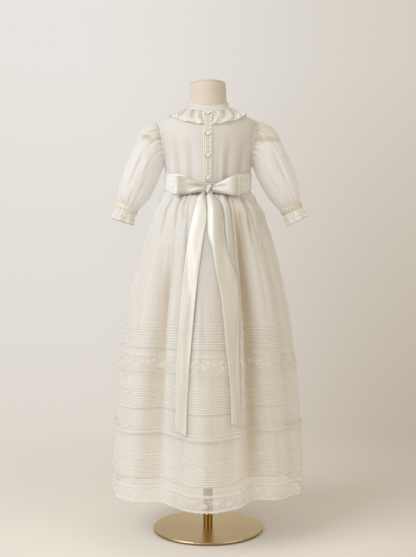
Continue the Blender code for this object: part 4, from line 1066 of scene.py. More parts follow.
def make_linen(name):
    """Smooth beige linen stretched over the form."""
    look = Look(name)
    slub = look.noise((260.0, 260.0, 1600.0), 3.0, "Object")
    cross = look.noise((1500.0, 1500.0, 240.0), 3.0, "Object")
    cloudy = look.noise((22.0, 22.0, 22.0), 2.0, "Object")
    base = look.colour(look.scaled(slub, 0.0, 0.5), (0.62, 0.55, 0.465), (0.69, 0.62, 0.53))
    base = look.colour(look.scaled(cloudy, 0.0, 0.3), base, (0.57, 0.50, 0.42))
    normal = look.bump(look.maths("ADD", slub, cross), 0.22, 0.0004)
    linen = look.add("ShaderNodeBsdfPrincipled", {
        "Base Color": base, "Roughness": 0.82, "Specular IOR Level": 0.25, "Sheen Weight": 0.15,
        "Normal": normal,
    }).outputs[0]
    return look.finish(linen)


def make_pearl(name):
    """Pearl, with a clear lustre over a faintly clouded body."""
    look = Look(name)
    cloudy = look.noise((420.0, 420.0, 420.0), 2.0, "Object")
    base = look.colour(look.scaled(cloudy, 0.0, 0.7), (0.84, 0.79, 0.67), (0.71, 0.64, 0.50))
    pearl = look.add("ShaderNodeBsdfPrincipled", {
        "Base Color": base, "Roughness": 0.22, "Specular IOR Level": 0.7, "Coat Weight": 0.8,
        "Coat Roughness": 0.08,
    }).outputs[0]
    return look.finish(pearl)


def make_base_brass(name):
    """Brass brushed in rings, with painted shade on its upright rim."""
    look = Look(name)
    parts, radius = look.round_axis()
    ring = look.add("ShaderNodeCombineXYZ", {0: look.maths("MULTIPLY", radius, 2600.0)}).outputs[0]
    lines = look.add("ShaderNodeTexNoise", {"Vector": ring, "Scale": 1.0, "Detail": 3.0}).outputs["Fac"]
    cloudy = look.noise((30.0, 30.0, 30.0), 2.0, "Object")
    deep = (0.70, 0.54, 0.32)
    base = look.colour(look.scaled(lines, 0.0, 0.5), (0.80, 0.635, 0.395), deep)
    base = look.colour(look.scaled(cloudy, 0.0, 0.25), base, deep)
    # Painted shade: the upright rim, below the top face, is much darker.
    base = look.colour(look.ramp(parts[2], 0.0044, 0.0056), (0.33, 0.235, 0.125), base)
    return look.finish(look.add("ShaderNodeBsdfPrincipled", {
        "Base Color": base, "Metallic": 1.0, "Anisotropic": 0.6, "Roughness": look.scaled(lines, 0.21, 0.30),
        "Normal": look.bump(lines, 0.08, 0.0003),
        "Tangent": look.add("ShaderNodeTangent", direction_type="RADIAL", axis="Z").outputs[0],
    }).outputs[0])


def make_pole_brass(name):
    """Polished brass with faint upright lines. Its dark colour is painted reflection."""
    look = Look(name)
    lines = look.noise((900.0, 900.0, 14.0), 2.0, "Object")
    cloudy = look.noise((30.0, 30.0, 30.0), 2.0, "Object")
    # Painted reflection: the brass is given a much darker colour than brass has, darkest along the upright
    # streaks.
    deep = (0.155, 0.088, 0.018)
    base = look.colour(look.scaled(lines, 0.0, 0.5), (0.235, 0.145, 0.036), deep)
    base = look.colour(look.scaled(cloudy, 0.0, 0.25), base, deep)
    return look.finish(look.add("ShaderNodeBsdfPrincipled", {
        "Base Color": base, "Metallic": 1.0, "Roughness": look.scaled(lines, 0.10, 0.19),
        "Normal": look.bump(lines, 0.03, 0.0003),
    }).outputs[0])


ORGANZA = make_organza("organza_skirt", 0.52)
BODICE_ORGANZA = make_organza("organza_bodice", 0.76, 0.92, (0.908, 0.913, 0.922))
SLEEVE_ORGANZA = make_organza("organza_sleeves", 0.58, 0.95, (0.918, 0.920, 0.922))
COLLAR_ORGANZA = make_organza("organza_collar", 0.70, 0.96, (0.955, 0.950, 0.930))
BAND_ORGANZA = make_organza("organza_bands", 0.80, 0.97, (0.935, 0.915, 0.850), (0.68, 0.575, 0.40))
NET = make_net("lace_net", 0.34)
THREAD = make_thread("embroidery_thread")
LACE_THREAD = make_thread("lace_thread", colour=(0.860, 0.842, 0.800), clouded=(0.78, 0.75, 0.69),
                          open_share=0.30)
# The loops are real thread; their dark tan is painted shade round the buttons.
SHADED_LOOP_THREAD = make_thread("button_loop_thread_shaded", colour=(0.66, 0.56, 0.39), clouded=(0.52, 0.43, 0.28))
LINING = make_lining("lining_cloth")
SATIN = make_satin("satin_ribbon")
LINEN = make_linen("form_linen")
PEARL = make_pearl("pearl_button")
BASE_BRASS = make_base_brass("brushed_brass")
POLE_BRASS = make_pole_brass("polished_brass")


# ---------------------------------------------------------------- form and stand
def add_form():
    """Smooth linen form, closed at its neck by a low dome and open below, where the skirt hides it."""
    low, top = FORM[0].height, FORM[-1].height
    heights = np.concatenate((np.linspace(top, top - 0.010, 14)[:-1], np.linspace(top - 0.010, low, 110)))
    rings = on_sections(FORM, all_round(96), heights[:, None])
    middle = np.array([0.0, 0.0, top])
    cap = [middle + (rings[0] - middle) * (share, share, 1.0) for share in (0.02, 0.35, 0.70, 0.90)]
    floor = [rings[-1] * (share, share, 1.0) for share in (0.8, 0.2)]
    points = np.concatenate((np.stack(cap), rings, np.stack(floor)))
    form = add_cloth("form_linen_cover", points, LINEN, closed=True)
    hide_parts("dress_form")
    seams = [tube_arrays(on_sections(FORM, angle, np.linspace(0.915, 0.60, 90)), 0.0004)
             for angle in (90.0, 270.0)]
    add_joined("form_side_seams", seams, LINEN)


def dress_stand():
    """Better materials for the rigid base and pole."""
    for node, material in (("stand_base", BASE_BRASS), ("stand_pole", POLE_BRASS)):
        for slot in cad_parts[node].material_slots:
            slot.material = material


# ---------------------------------------------------------------- skirt
SKIRT_ANGLES = all_round(360)
# How far the sprigs of a row of lace lie above and below it, by turns.
SPRIG_SHIFT = 0.0012


def tuck_rows(band):
    """Heights, proudness and doubling of a band of pintucks, from its top down."""
    rows = []
    for index in range(band.count):
        for ring in TUCK_PROFILE:
            rows.append((band.top_z - band.pitch * (index + ring.share), ring.proud, ring.doubled))
    return rows


def plain_rows(top_z, low_z, step):
    """Rows of a plain stretch, its ends left out."""
    count = max(2, int(round(abs(top_z - low_z) / step)))
    return [(height, 0.0, 0.0) for height in np.linspace(top_z, low_z, count + 1)[1:-1]]


def add_panel(name, node, rows, material, tan_all_over=0.0):
    """A skirt panel from rows of height, proudness and doubling, with the skirt's painted shade. The last
    argument makes it that much more tan all over.
    """
    heights, proud, doubled = (np.array(column)[:, None] for column in zip(*rows))
    # Painted shade in tan from the skirt's folds, creases and broad stretches, less where the cloth lies
    # double.
    warm = skirt_painted_shade(SKIRT_ANGLES, heights)
    packed = 0.80 * ease(0.56, 0.66, heights) * (1.0 - warm)
    piece = add_cloth(name, skirt(SKIRT_ANGLES, heights, -proud), material, closed=True,
                      dense=np.maximum(doubled * (1.0 - 0.7 * warm), packed),
                      warm=np.clip(warm + tan_all_over, 0.0, 1.0) * (1.0 - 0.5 * doubled))
    wear(node)


def below_tucks(band):
    """Height at which a band of pintucks ends."""
    return band.top_z - band.pitch * band.count


def add_skirt_panels():
    """The three tucked panels of the skirt."""
    seam_low, low = 0.6900, INSERTION_TOP_Z + 0.5 * SEAM
    rows = [(WAIST_Z - SEAM, 0.0, 1.0), (seam_low, 0.0, 1.0)]
    rows += plain_rows(seam_low, TUCKS_UPPER.top_z, 0.0046)
    rows += tuck_rows(TUCKS_UPPER) + plain_rows(below_tucks(TUCKS_UPPER), low + 0.003, 0.003)
    rows += [(low + 0.002, 0.0, 0.3), (low, 0.0003, 0.3)]
    add_panel("skirt_upper_cloth", "skirt_upper", rows, ORGANZA)

    top, low = INSERTION_LOW_Z - 0.5 * SEAM, TIER_Z + 0.5 * SEAM
    rows = [(top, 0.0003, 0.4), (top - 0.0018, 0.0, 0.4)] + plain_rows(top - 0.002, TUCKS_MIDDLE.top_z, 0.003)
    rows += tuck_rows(TUCKS_MIDDLE) + plain_rows(below_tucks(TUCKS_MIDDLE), low, 0.0045)
    rows += [(low, 0.0, 1.0)]
    add_panel("skirt_middle_cloth", "skirt_middle", rows, ORGANZA)

    top, low = TIER_Z - 0.5 * SEAM, LACE_Z + 0.5 * SEAM
    rows = [(top, 0.0, 1.0)] + plain_rows(top, TUCKS_LOWER.top_z, 0.0045) + tuck_rows(TUCKS_LOWER)
    rows += plain_rows(below_tucks(TUCKS_LOWER), low + 0.002, 0.0035)
    rows += [(low + 0.0018, 0.0, 1.0), (low, 0.0003, 1.0)]
    add_panel("skirt_lower_cloth", "skirt_lower", rows, ORGANZA)


class SkirtPlane:
    """The skirt read in metres: across round it, from the centre back, and along as a height."""

    def __init__(self, height, inset=0.0):
        self.inset = inset
        self.angles = np.linspace(-180.0, 180.0, 1441)
        self.lengths = travelled(skirt(self.angles, height, inset))
        self.around = self.lengths[-1]

    def __call__(self, across, along):
        angle = np.interp(np.asarray(across) % self.around, self.lengths, self.angles)
        return skirt(angle, along, self.inset)


def add_insertion():
    """Net insertion with a row of sprigs between small stitched lines and a scalloped lower edge."""
    top, low, proud = INSERTION_TOP_Z - 0.5 * SEAM, INSERTION_LOW_Z + 0.5 * SEAM, 0.0006
    rows = [(top, 0.0, 0.3), (top - 0.0012, proud, 0.3)]
    rows += [(height, proud, 0.15) for height in np.linspace(top - 0.003, low + 0.003, 8)]
    rows += [(low + 0.0012, proud, 0.7), (low, 0.0, 0.7)]
    add_panel("insertion_net", "lace_insertion", rows, NET, tan_all_over=0.14)

    middle, flower_z, small_flower_z, leaf_z = 0.3500, 0.3572, 0.3425, 0.3590
    sprigs, puckers = 44, 150
    plane = SkirtPlane(middle, -proud)
    pitch = plane.around / sprigs
    parts = []
    for index in range(sprigs):
        flip = by_turns(index)
        parts.append(stamp(sprig(0.0262, flip), plane, (index + 0.5) * pitch, middle + SPRIG_SHIFT * flip))
        parts.append(stamp(blossom(0.0078, turn=20.0), plane, index * pitch, flower_z))
        parts.append(stamp(blossom(0.0062, turn=10.0), plane, (index + 0.12) * pitch, small_flower_z))
        leaf = petal(0.0070, 0.0030, 0.0005, 55.0 * flip, 0.0)
        parts.append(stamp(leaf, plane, (index + 0.45) * pitch, leaf_z))
    angles = all_round(1440)
    scallop = 0.0014 * np.abs(np.sin(np.radians(angles) * 0.5 * puckers))
    parts.append(round_thread(skirt(angles, low + 0.0014 - scallop, -0.0012), 0.00055))
    parts.append(round_thread(skirt(angles[::2], top - 0.0010, -0.0010), 0.00030))
    for index in range(puckers):
        drop = 0.0034 + 0.0026 * abs(math.sin(1.7 * index))
        stitch = petal(drop, 0.0007, 0.0002, 180.0 + 10.0 * math.sin(2.9 * index), 0.0)
        parts.append(stamp(stitch, plane, (index + 0.5) * plane.around / puckers, low - 0.0006, 0.0001))
    add_joined("insertion_embroidery", parts, LACE_THREAD)


def add_tier_ribbon():
    """Ribbon with two cords over the seam of the middle and the lower panel."""
    proud, cord = 0.0013, 0.0008
    profile = ((0.0065, 0.0), (0.0052, 0.4), (0.0040, 1.0), (0.0028, 0.4), (0.0010, 0.0), (-0.0022, 0.4),
               (-0.0034, 1.0), (-0.0046, 0.4), (-0.0062, 0.0))
    rows = [(TIER_Z + rise, proud + cord * swell, 0.7 * swell) for rise, swell in profile]
    add_panel("tier_ribbon_cloth", "tier_ribbon", rows, ORGANZA)
    angles = all_round(720)
    parts = [tube_arrays(skirt(angles, TIER_Z + rise, -(proud + cord)), radius, closed=True)
             for rise, radius in ((0.0040, 0.00050), (-0.0034, 0.00042))]
    parts += [round_thread(skirt(angles, TIER_Z + rise, -(proud + 0.0002)), 0.00028)
              for rise in (0.0064, -0.0061)]
    add_joined("tier_cords", parts, LACE_THREAD)


HEM_SCALLOP, HEM_SCALLOPS, HEM_SPRIGS = 0.0016, 130, 52
HEM_SPRIG_Z, HEM_FLOWER_Z, HEM_LEAF_Z = 0.0985, 0.1052, HEM_Z + 0.0044


def add_hem_lace():
    """Lace edging: net with sprigs, leaves along the edge, scallops and picot loops."""
    angles = all_round(1080)
    plane = SkirtPlane(0.095)
    pitch = plane.around / HEM_SCALLOPS
    around = np.interp((angles + 180.0) % 360.0 - 180.0, plane.angles, plane.lengths)
    hang = HEM_SCALLOP * np.abs(np.sin(math.pi * around / pitch))
    shares = np.array([0.0, 0.04, 0.08, 0.25, 0.45, 0.65, 0.82, 0.93, 1.0])[:, None]
    top = LACE_Z - 0.5 * SEAM
    heights = top - (top - HEM_Z - HEM_SCALLOP + hang) * shares
    points = skirt(angles, heights)
    # Painted shade, at half strength, from the skirt's folds.
    piece = add_cloth("hem_lace_net", points, NET, closed=True, warm=0.5 * skirt_painted_shade(angles, heights),
                      dense=np.where((shares < 0.05) | (shares > 0.9), 1.0, 0.0))
    wear("hem_lace")

    parts = []
    step = plane.around / HEM_SPRIGS
    for index in range(HEM_SPRIGS):
        flip = by_turns(index)
        height = HEM_SPRIG_Z + SPRIG_SHIFT * flip
        parts.append(stamp(sprig(0.0200, flip), plane, (index + 0.5) * step, height))
        parts.append(stamp(blossom(0.0052, turn=15.0), plane, index * step, HEM_FLOWER_Z))
    for index in range(HEM_SCALLOPS):
        for turn in (-42.0, 0.0, 42.0):
            leaf = petal(0.0034, 0.0016, 0.0005, 180.0 + turn, 0.0006)
            parts.append(stamp(leaf, plane, (index + 0.5) * pitch, HEM_LEAF_Z))
    parts.append(round_thread(points[-1], 0.0005))
    parts.append(round_thread(skirt(angles[::2], top - 0.0008, -0.0005), 0.0006))
    edge = closing(points[-1])
    parts += picot_loops(edge, np.broadcast_to((0.0, 0.0, -1.0), edge.shape), pitch / 3.0, 0.0014)
    add_joined("hem_lace_embroidery", parts, LACE_THREAD)


def add_underskirt():
    """Plain lining skirt just inside the outer one, with a narrow hem."""
    angles = all_round(300)
    heights = np.concatenate((np.linspace(WAIST_Z - 0.001, 0.62, 20), np.linspace(0.61, 0.134, 84),
                              [0.1320, 0.1300, 0.1290, LINING_HEM_Z]))[:, None]
    inset = LINING_INSET + LINING_EASE * ease(0.690, 0.640, heights)
    points = skirt(angles, heights, inset, LINING_GATHERS)
    # Painted shade from the skirt's folds, a little weaker.
    piece = add_cloth("underskirt_cloth", points, LINING, closed=True, warm=0.8 * skirt_painted_shade(angles, heights))
    wear("underskirt")
    inset = LINING_INSET + LINING_EASE
    hem = skirt(angles, LINING_HEM_Z, inset, LINING_GATHERS)
    stitched = skirt(angles, LINING_HEM_Z + 0.0060, inset - 0.0002, LINING_GATHERS)
    parts = [tube_arrays(hem, 0.0006, closed=True), round_thread(stitched, 0.0002)]
    add_joined("underskirt_hem", parts, THREAD)


# ---------------------------------------------------------------- bodice
BACK_START = math.degrees(0.5 * SEAM / 0.0450)
SIDE = 90.0 - math.degrees(0.5 * SEAM / 0.0700)
SHOULDER = 90.0 - math.degrees(0.5 * SEAM / 0.0450)
NECK_WAIST_ANGLE, SHOULDER_WAIST_ANGLE, TIP_WAIST_ANGLE = 32, 41, 50
SHOULDER_SHARE = 0.86


def armhole_edge(share):
    """Angle and height of the armhole's edge, from its top (0) to the underarm (1)."""
    turn = math.pi * share
    return 90.0 - ARMHOLE_HALF_ANGLE * np.sin(turn), ARMHOLE_MIDDLE_Z + ARMHOLE_HALF_HEIGHT * np.cos(turn)


def quarter_grid(start, front):
    """Angles and heights of a bodice quarter, from its top row to the waist, and from the centre line
    over the neckline (4), the shoulder (6) and the armhole to the side seam (11)."""
    columns = np.concatenate((np.linspace(0, 4, 25), np.linspace(4, 6, 13)[1:], np.linspace(6, 11, 41)[1:]))
    shares = np.unique(np.concatenate((np.linspace(0.0, 1.0, 61), [SHOULDER_SHARE])))[::-1][:, None]
    low = WAIST_Z + SEAM

    def laid(waist_angle, top_angle, top_z, sweep, at_neck):
        angle = mix(waist_angle, top_angle, shares ** sweep)
        if not at_neck:
            return angle, mix(low, top_z, shares)
        below = mix(low, SHOULDER_TIP_Z, shares / SHOULDER_SHARE)
        above = mix(SHOULDER_TIP_Z, top_z, (shares - SHOULDER_SHARE) / (1.0 - SHOULDER_SHARE))
        return angle, np.where(shares <= SHOULDER_SHARE, below, above)

    neck = np.clip(columns / 4.0, 0.0, 1.0)[None, :]
    top_angle = mix(start, SHOULDER, neck)
    top_z = neckline_height(180.0 - top_angle if front else top_angle) - SEAM
    at_neck = laid(mix(start, NECK_WAIST_ANGLE, neck), top_angle, top_z, 4, True)
    at_middle = laid(SHOULDER_WAIST_ANGLE, SHOULDER, SHOULDER_MIDDLE_Z, 6, False)
    arm = np.clip((columns - 6.0) / 5.0, 0.0, 1.0)[None, :]
    arm_angle, arm_z = armhole_edge(arm)
    waist_angle = mix(TIP_WAIST_ANGLE, SIDE, arm)
    waist_angle = np.where(arm < 1.0, np.minimum(waist_angle, arm_angle - 1.0), waist_angle)
    at_arm = laid(waist_angle, np.minimum(SIDE, arm_angle), arm_z, mix(9.0, 1.0, arm), False)
    neck_weight = np.clip(5.0 - columns, 0.0, 1.0)[None, :]
    arm_weight = np.clip(columns - 5.0, 0.0, 1.0)[None, :]
    angle, height = (
        neck_weight * a + (1.0 - neck_weight - arm_weight) * b + arm_weight * c
        for a, b, c in zip(at_neck, at_middle, at_arm)
    )
    return angle, height, shares, columns


def bodice_dense(shares, columns):
    """Where a bodice quarter lies double: at its seams."""
    top = ease(0.955, 0.965, shares)
    side = ease(10.80, 10.84, columns)[None, :]
    waist = ease(0.03, 0.02, shares)
    return np.maximum(np.maximum(top, side), waist)


def bodice_painted_shade(angle, height):
    """Painted shade, soft and tan, in the hollows of the bodice."""
    return np.clip(110.0 * bodice_hollow(angle, height), 0.0, 0.5)


def add_bodice_backs():
    """The two back halves. Low down they are made denser, the wearer's left one most, which is painted light:
    the denser cloth hides more of the darker form.
    """
    angle, height, shares, columns = quarter_grid(BACK_START, False)
    dense = np.maximum(bodice_dense(shares, columns), ease(0.62, 0.50, columns)[None, :])
    warm = bodice_painted_shade(angle, height)
    low_down = ease(0.790, 0.735, height)
    for name, side, painted_light in (("left", 1.0, 0.95), ("right", -1.0, 0.5)):
        seams_and_painted_light = np.maximum(dense, painted_light * low_down * (1.0 - 1.6 * warm))
        piece = add_cloth(f"bodice_back_{name}_cloth", torso(side * angle, height), BODICE_ORGANZA,
                          outward=side > 0, dense=seams_and_painted_light, warm=warm)
        wear(f"bodice_back_{name}")


def add_bodice_front():
    """The front, in one piece."""
    angle, height, shares, columns = quarter_grid(0.0, True)
    both = np.concatenate((180.0 - angle[:, ::-1], 180.0 + angle[:, 1:]), axis=1)
    heights, dense = (np.concatenate((half[:, ::-1], half[:, 1:]), axis=1)
                      for half in (height, bodice_dense(shares, columns)))
    # Painted shade in the bodice's hollows.
    piece = add_cloth("bodice_front_cloth", torso(both, heights), BODICE_ORGANZA, dense=dense,
                      warm=bodice_painted_shade(both, heights))
    wear("bodice_front")


def add_piping():
    """Piping round the armholes, and thin rolls on the side and shoulder seams and round the neckline."""
    turned, height = armhole_edge(np.linspace(0.0, 2.0, 97))
    armhole = beside(torso, turned, height, 0.0008)
    side_seam, shoulder = np.linspace(0.7260, UNDERARM_Z, 12), np.linspace(SHOULDER_TIP_Z, NECKLINE_Z, 24)
    parts = []
    for side in (1.0, -1.0):
        parts.append(tube_arrays(armhole * (side, 1.0, 1.0), PIPING_RADIUS, closed=True))
        parts.append(tube_arrays(torso(side * 90.0, side_seam, 0.0004), 0.0004))
        parts.append(tube_arrays(torso(side * 90.0, shoulder, 0.0004), 0.0005))
    around = np.linspace(BACK_START, 360.0 - BACK_START, 140)
    parts.append(tube_arrays(beside(torso, around, neckline_height(around), 0.0004), 0.0006))
    add_joined("bodice_piping", parts, THREAD)


def torso_angle(x, height):
    """The angle at which the bodice reaches so far sideways at a height."""
    return np.degrees(np.arcsin(x / read_table(TORSO, "half_width", height)))


def placket_face(across, along):
    """The placket's face, read in metres across and up."""
    return beside(torso, torso_angle(across, along), along, PLACKET_LIFT)


def add_placket():
    """Folded closing strip down the centre back, with a narrow picot trim along both edges."""
    top, low = float(neckline_height(0.0)) + 0.0004, SASH_DRAWN_TOP_Z + 0.003
    heights = np.linspace(top, low, 60)
    places = np.concatenate(([PLACKET_RIGHT_X], np.linspace(-0.0066, 0.0072, 12), [PLACKET_LEFT_X]))
    lifts = np.array([PLACKET_EDGE_LIFT] + [PLACKET_LIFT] * 12 + [PLACKET_EDGE_LIFT])
    down = heights[:, None]
    warm = np.where(places > PLACKET_FOLD_X, 0.0, 0.34) + 0.06 * uneven(down, 260.0)
    piece = add_cloth("placket_cloth", beside(torso, torso_angle(places, down), down, lifts), BAND_ORGANZA,
                      dense=np.where(places > PLACKET_FOLD_X, 1.0, 0.70), warm=np.clip(warm, 0.0, 1.0))
    wear("back_placket")

    parts = []
    for x, picot, radius in ((PLACKET_LEFT_X, 0.0011, 0.0011), (PLACKET_RIGHT_X, 0.0013, 0.0005),
                             (0.0042, 0.0, 0.0003)):
        line = placket_face(x, heights)
        parts.append(tube_arrays(line, radius))
        if picot:
            outward = np.broadcast_to((math.copysign(1.0, x), 0.25, 0.0), line.shape)
            parts += picot_loops(line, outward, 0.0030, picot)
    flowers = int((top - low) / PLACKET_FLOWER_PITCH)
    for index in range(flowers):
        height = top - (index + 0.5) * (top - low) / flowers
        flip = by_turns(index)
        leaf = petal(0.0040, 0.0016, 0.0004, 90.0 + 40.0 * flip, 0.0)
        parts.append(stamp(blossom(0.0050, turn=20.0 * flip), placket_face, -0.0050, height))
        parts.append(stamp(leaf, placket_face, 0.0010, height))
    add_joined("placket_trim", parts, THREAD)


def add_button_loops():
    """A thread loop from the placket's edge round each button."""
    turn = np.linspace(-0.35 * math.pi, 0.35 * math.pi, 9) + math.pi
    x = -0.0058 * np.cos(turn) - 0.0008
    loops = [placket_face(x, height + 0.0046 * np.sin(turn)) + (0.0, 0.0008, 0.0)
             for height in BUTTON_HEIGHTS]
    add_joined("button_loops", [tube_arrays(loop, 0.00050) for loop in loops], SHADED_LOOP_THREAD)


def add_buttons():
    """Pearl buttons with a low rim and a domed middle."""
    profile = ((0.0, 0.00125), (0.22, 0.00122), (0.42, 0.00105), (0.56, 0.00085), (0.68, 0.00088),
               (0.84, 0.00092), (0.95, 0.00062), (1.0, 0.0), (0.93, -0.0008), (0.60, -0.0012))
    turn = np.radians(all_round(28))[:, None]
    for number, height in enumerate(BUTTON_HEIGHTS, start=1):
        seat = beside(torso, 0.0, height, BUTTON_SEAT + BUTTON_HALF_THICKNESS)
        out = unit(seat - torso(0.0, height))
        across = unit(np.cross((0.0, 0.0, 1.0), out))
        up = np.cross(out, across)
        ring = BUTTON_RADIUS * (np.cos(turn) * across + np.sin(turn) * up)
        rings = [seat + out * rise + max(share, 0.02) * ring for share, rise in profile]
        piece = add_cloth(f"button_{number}_pearl", np.stack(rings), PEARL, closed=True, outward=False)
        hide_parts(f"button_{number}")


# ---------------------------------------------------------------- neck
def add_neck_band():
    """Sheer binding round the neck with a rolled top edge."""
    around = np.linspace(BACK_START, 360.0 - BACK_START, 150)
    seam = neckline_height(around) + SEAM
    shares = np.linspace(1.0, 0.0, 7)[:, None]
    piece = add_cloth("neck_band_cloth", torso(around, seam + BAND_HEIGHT * shares), BODICE_ORGANZA,
                      dense=np.where(shares > 0.9, 1.0, 0.25), warm=0.0)
    wear("neck_band")
    edge = torso(around, seam + BAND_HEIGHT, 0.0002)
    add_joined("neck_band_edge", [tube_arrays(edge, 0.0006)], THREAD)


class BelowNeckline:
    """Heights on the torso at distances down its surface from the neckline."""

    def __init__(self):
        self.angles = np.linspace(0.0, 180.0, 181)
        self.distances = np.linspace(0.0, 0.045, 91)
        self.heights = np.array([self.below(angle) for angle in self.angles])

    def below(self, angle):
        """The heights of one column."""
        heights = np.linspace(float(neckline_height(angle)) - SEAM, 0.79, 220)
        return np.interp(self.distances, travelled(torso(angle, heights)), heights)

    def __call__(self, angle, distance):
        row = np.clip(angle, 0.0, 179.999)
        column = np.clip(distance / (self.distances[1] - self.distances[0]), 0.0, 89.999)
        low_row, low_column = row.astype(int), column.astype(int)
        across, along = row - low_row, column - low_column
        upper = mix(self.heights[low_row, low_column], self.heights[low_row, low_column + 1], along)
        lower = mix(self.heights[low_row + 1, low_column], self.heights[low_row + 1, low_column + 1], along)
        return mix(upper, lower, across)


BELOW_NECKLINE = BelowNeckline()


def collar_wave(start):
    """Height of the collar's waves, from 0 to 1, at the place where a column starts."""
    place = (start - COLLAR_START) / (COLLAR_END - COLLAR_START) * COLLAR_WAVES
    place = place + 0.16 * np.sin(2.1 * place + 0.4)
    big = 0.5 - 0.5 * np.cos(2.0 * math.pi * place)
    return np.clip(big ** 1.3 + 0.10 * np.sin(5.3 * math.pi * place), 0.0, 1.15)


def collar(start, distance, side=1.0, lift=0.0):
    """The collar's surface: start is a column's angle at the neckline, distance is down from there."""
    start, distance = np.broadcast_arrays(np.asarray(start, float), np.asarray(distance, float))
    share = distance / COLLAR_DEPTH
    angle = np.clip(start - share * COLLAR_HANG * np.sin(np.radians(2.0 * start)), 0.3, 179.7)
    height = BELOW_NECKLINE(angle, distance)
    rise = COLLAR_CLEARANCE + lift + share * (COLLAR_RISE + COLLAR_WAVE * collar_wave(start))
    rise = rise + 0.0010 * np.exp(-((share - 0.12) / 0.10) ** 2) * (0.5 + 0.5 * np.sin(1.9 * start))
    return beside(torso, angle, height, rise) * (side, 1.0, 1.0)


COLLAR_STARTS = np.linspace(COLLAR_START, COLLAR_END, 361)
COLLAR_SHARES = np.array([0.0, 0.03, 0.07, 0.13, 0.20, 0.28, 0.37, 0.46, 0.55, 0.64, 0.73, 0.82, 0.90, 0.96,
                          1.0])[:, None]


def add_collar(name, side):
    """One half of the gathered frill, with a scalloped edge."""
    scallop = 0.0011 * np.abs(np.sin(math.pi * COLLAR_STARTS / COLLAR_SCALLOP))
    points = collar(COLLAR_STARTS, COLLAR_SHARES * (COLLAR_DEPTH - 0.0008 + scallop), side)
    dense = np.where(COLLAR_SHARES < 0.05, 1.0, np.where(COLLAR_SHARES > 0.75, 0.75, 0.25))
    # Painted shade, in tan, in the low gathers between the waves, mostly towards the neckline, and along the
    # neckline.
    gathered = 0.75 * np.clip(1.0 - 1.5 * collar_wave(COLLAR_STARTS), 0.0, 1.0) ** 1.2
    gathered = gathered * ease(1.05, 0.35, COLLAR_SHARES) + 0.25 * ease(0.16, 0.0, COLLAR_SHARES)
    piece = add_cloth(f"collar_{name}_cloth", points, COLLAR_ORGANZA, outward=side > 0, dense=dense,
                      warm=np.clip(gathered, 0.0, 1.0))
    wear(f"collar_{name}")
    add_collar_edging(name, side, points)


def add_collar_edging(name, side, points):
    """A collar half's rolled edge with picot loops, a cord along the neckline, and sprigs and leaves."""
    edge = points[-1]
    parts = [tube_arrays(edge, 0.0005, sides=4),
             tube_arrays(collar(COLLAR_STARTS[::3], 0.0008, side, 0.0006), 0.0007)]
    parts += picot_loops(edge, edge - points[-3], 0.0026, 0.0013)
    lengths = travelled(points[-4])

    def plane(across, along):
        return collar(np.interp(across, lengths, COLLAR_STARTS), COLLAR_DEPTH - along, side)

    count = int(lengths[-1] / 0.0125)
    for index in range(count):
        middle = (index + 0.5) * lengths[-1] / count
        parts.append(stamp(sprig(0.0100, by_turns(index)), plane, middle, 0.0068, facing=-side))
    leaf, leaf_pitch = petal(0.0024, 0.0012, 0.0004, 180.0, 0.0), 0.0042
    for index in range(int(lengths[-1] / leaf_pitch)):
        parts.append(stamp(leaf, plane, (index + 0.5) * leaf_pitch, 0.0034, facing=-side))
    add_joined(f"collar_{name}_edging", parts, THREAD)


# ---------------------------------------------------------------- sleeves
def sleeve_rings(turn):
    """The sleeve's rings at turns round the arm, from the armhole to the wrist, as a stack."""
    smaller = 1.0 - (SEAM + 0.0003) / ARMHOLE_HALF_HEIGHT
    angle = 90.0 - (ARMHOLE_HALF_ANGLE - 0.5) * np.sin(turn)
    rings = [torso(angle, ARMHOLE_MIDDLE_Z + ARMHOLE_HALF_HEIGHT * smaller * np.cos(turn))]
    for row in SLEEVE_RINGS:
        outer, inner = np.array([row.outer_x, 0.0, row.outer_z]), np.array([row.inner_x, 0.0, row.inner_z])
        centre, reach = 0.5 * (outer + inner), 0.5 * (outer - inner)
        across = np.array([0.0, row.half_depth, 0.0])
        rings.append(centre + np.cos(turn)[:, None] * reach + np.sin(turn)[:, None] * across)
    return np.stack(rings)


def sleeve_taken_in(place, turn):
    """How far creases and pleats draw the sleeve's cloth in, at places along the arm and turns round it."""
    degrees = np.degrees(turn)[None, :]
    place = place[:, None]
    depth = 0.0
    for crease in SLEEVE_CREASES:
        reach = crease.end - crease.start
        fade = ease(crease.end, crease.end - 0.6 * reach, place)
        if crease.start > 0.0:
            fade = fade * ease(crease.start, crease.start + 0.4 * reach, place)
        depth = depth + crease.depth * fade * bell(turn_between(degrees, crease.turn), crease.half_width)
    pleats = 0.5 + 0.5 * np.sin(np.radians(degrees) * 23.0 + 1.7 * np.sin(3.0 * np.radians(degrees)))
    head = 0.0016 * ease(1.9, 0.15, place) * ease(0.0, 0.12, place)
    wrist = 0.0014 * ease(6.2, 7.6, place) * ease(8.0, 7.85, place)
    return depth * ease(0.0, 0.25, place) * ease(8.0, 7.7, place) + (head + wrist) * pleats


def sleeve_points(place, turn):
    """Points of the wearer's left sleeve."""
    rings = sleeve_rings(turn)
    smoothed = smooth(np.arange(len(rings), dtype=float), rings, place)
    centres = smoothed.mean(axis=1, keepdims=True)
    outward = unit(smoothed - centres)
    return smoothed - sleeve_taken_in(place, turn)[..., None] * outward


def cuff_ring(middle, direction, turn, size, swell):
    """A ring round the wrist, square to a direction."""
    outward = np.stack((-direction[..., 2], np.zeros(direction.shape[:-1]), direction[..., 0]), axis=-1)
    width, depth = size * WRIST_HALF_WIDTH + swell, size * WRIST_HALF_DEPTH + swell
    ring = (width * np.cos(turn))[..., None] * outward
    return middle + ring + (depth * np.sin(turn))[..., None] * np.array([0.0, 1.0, 0.0])


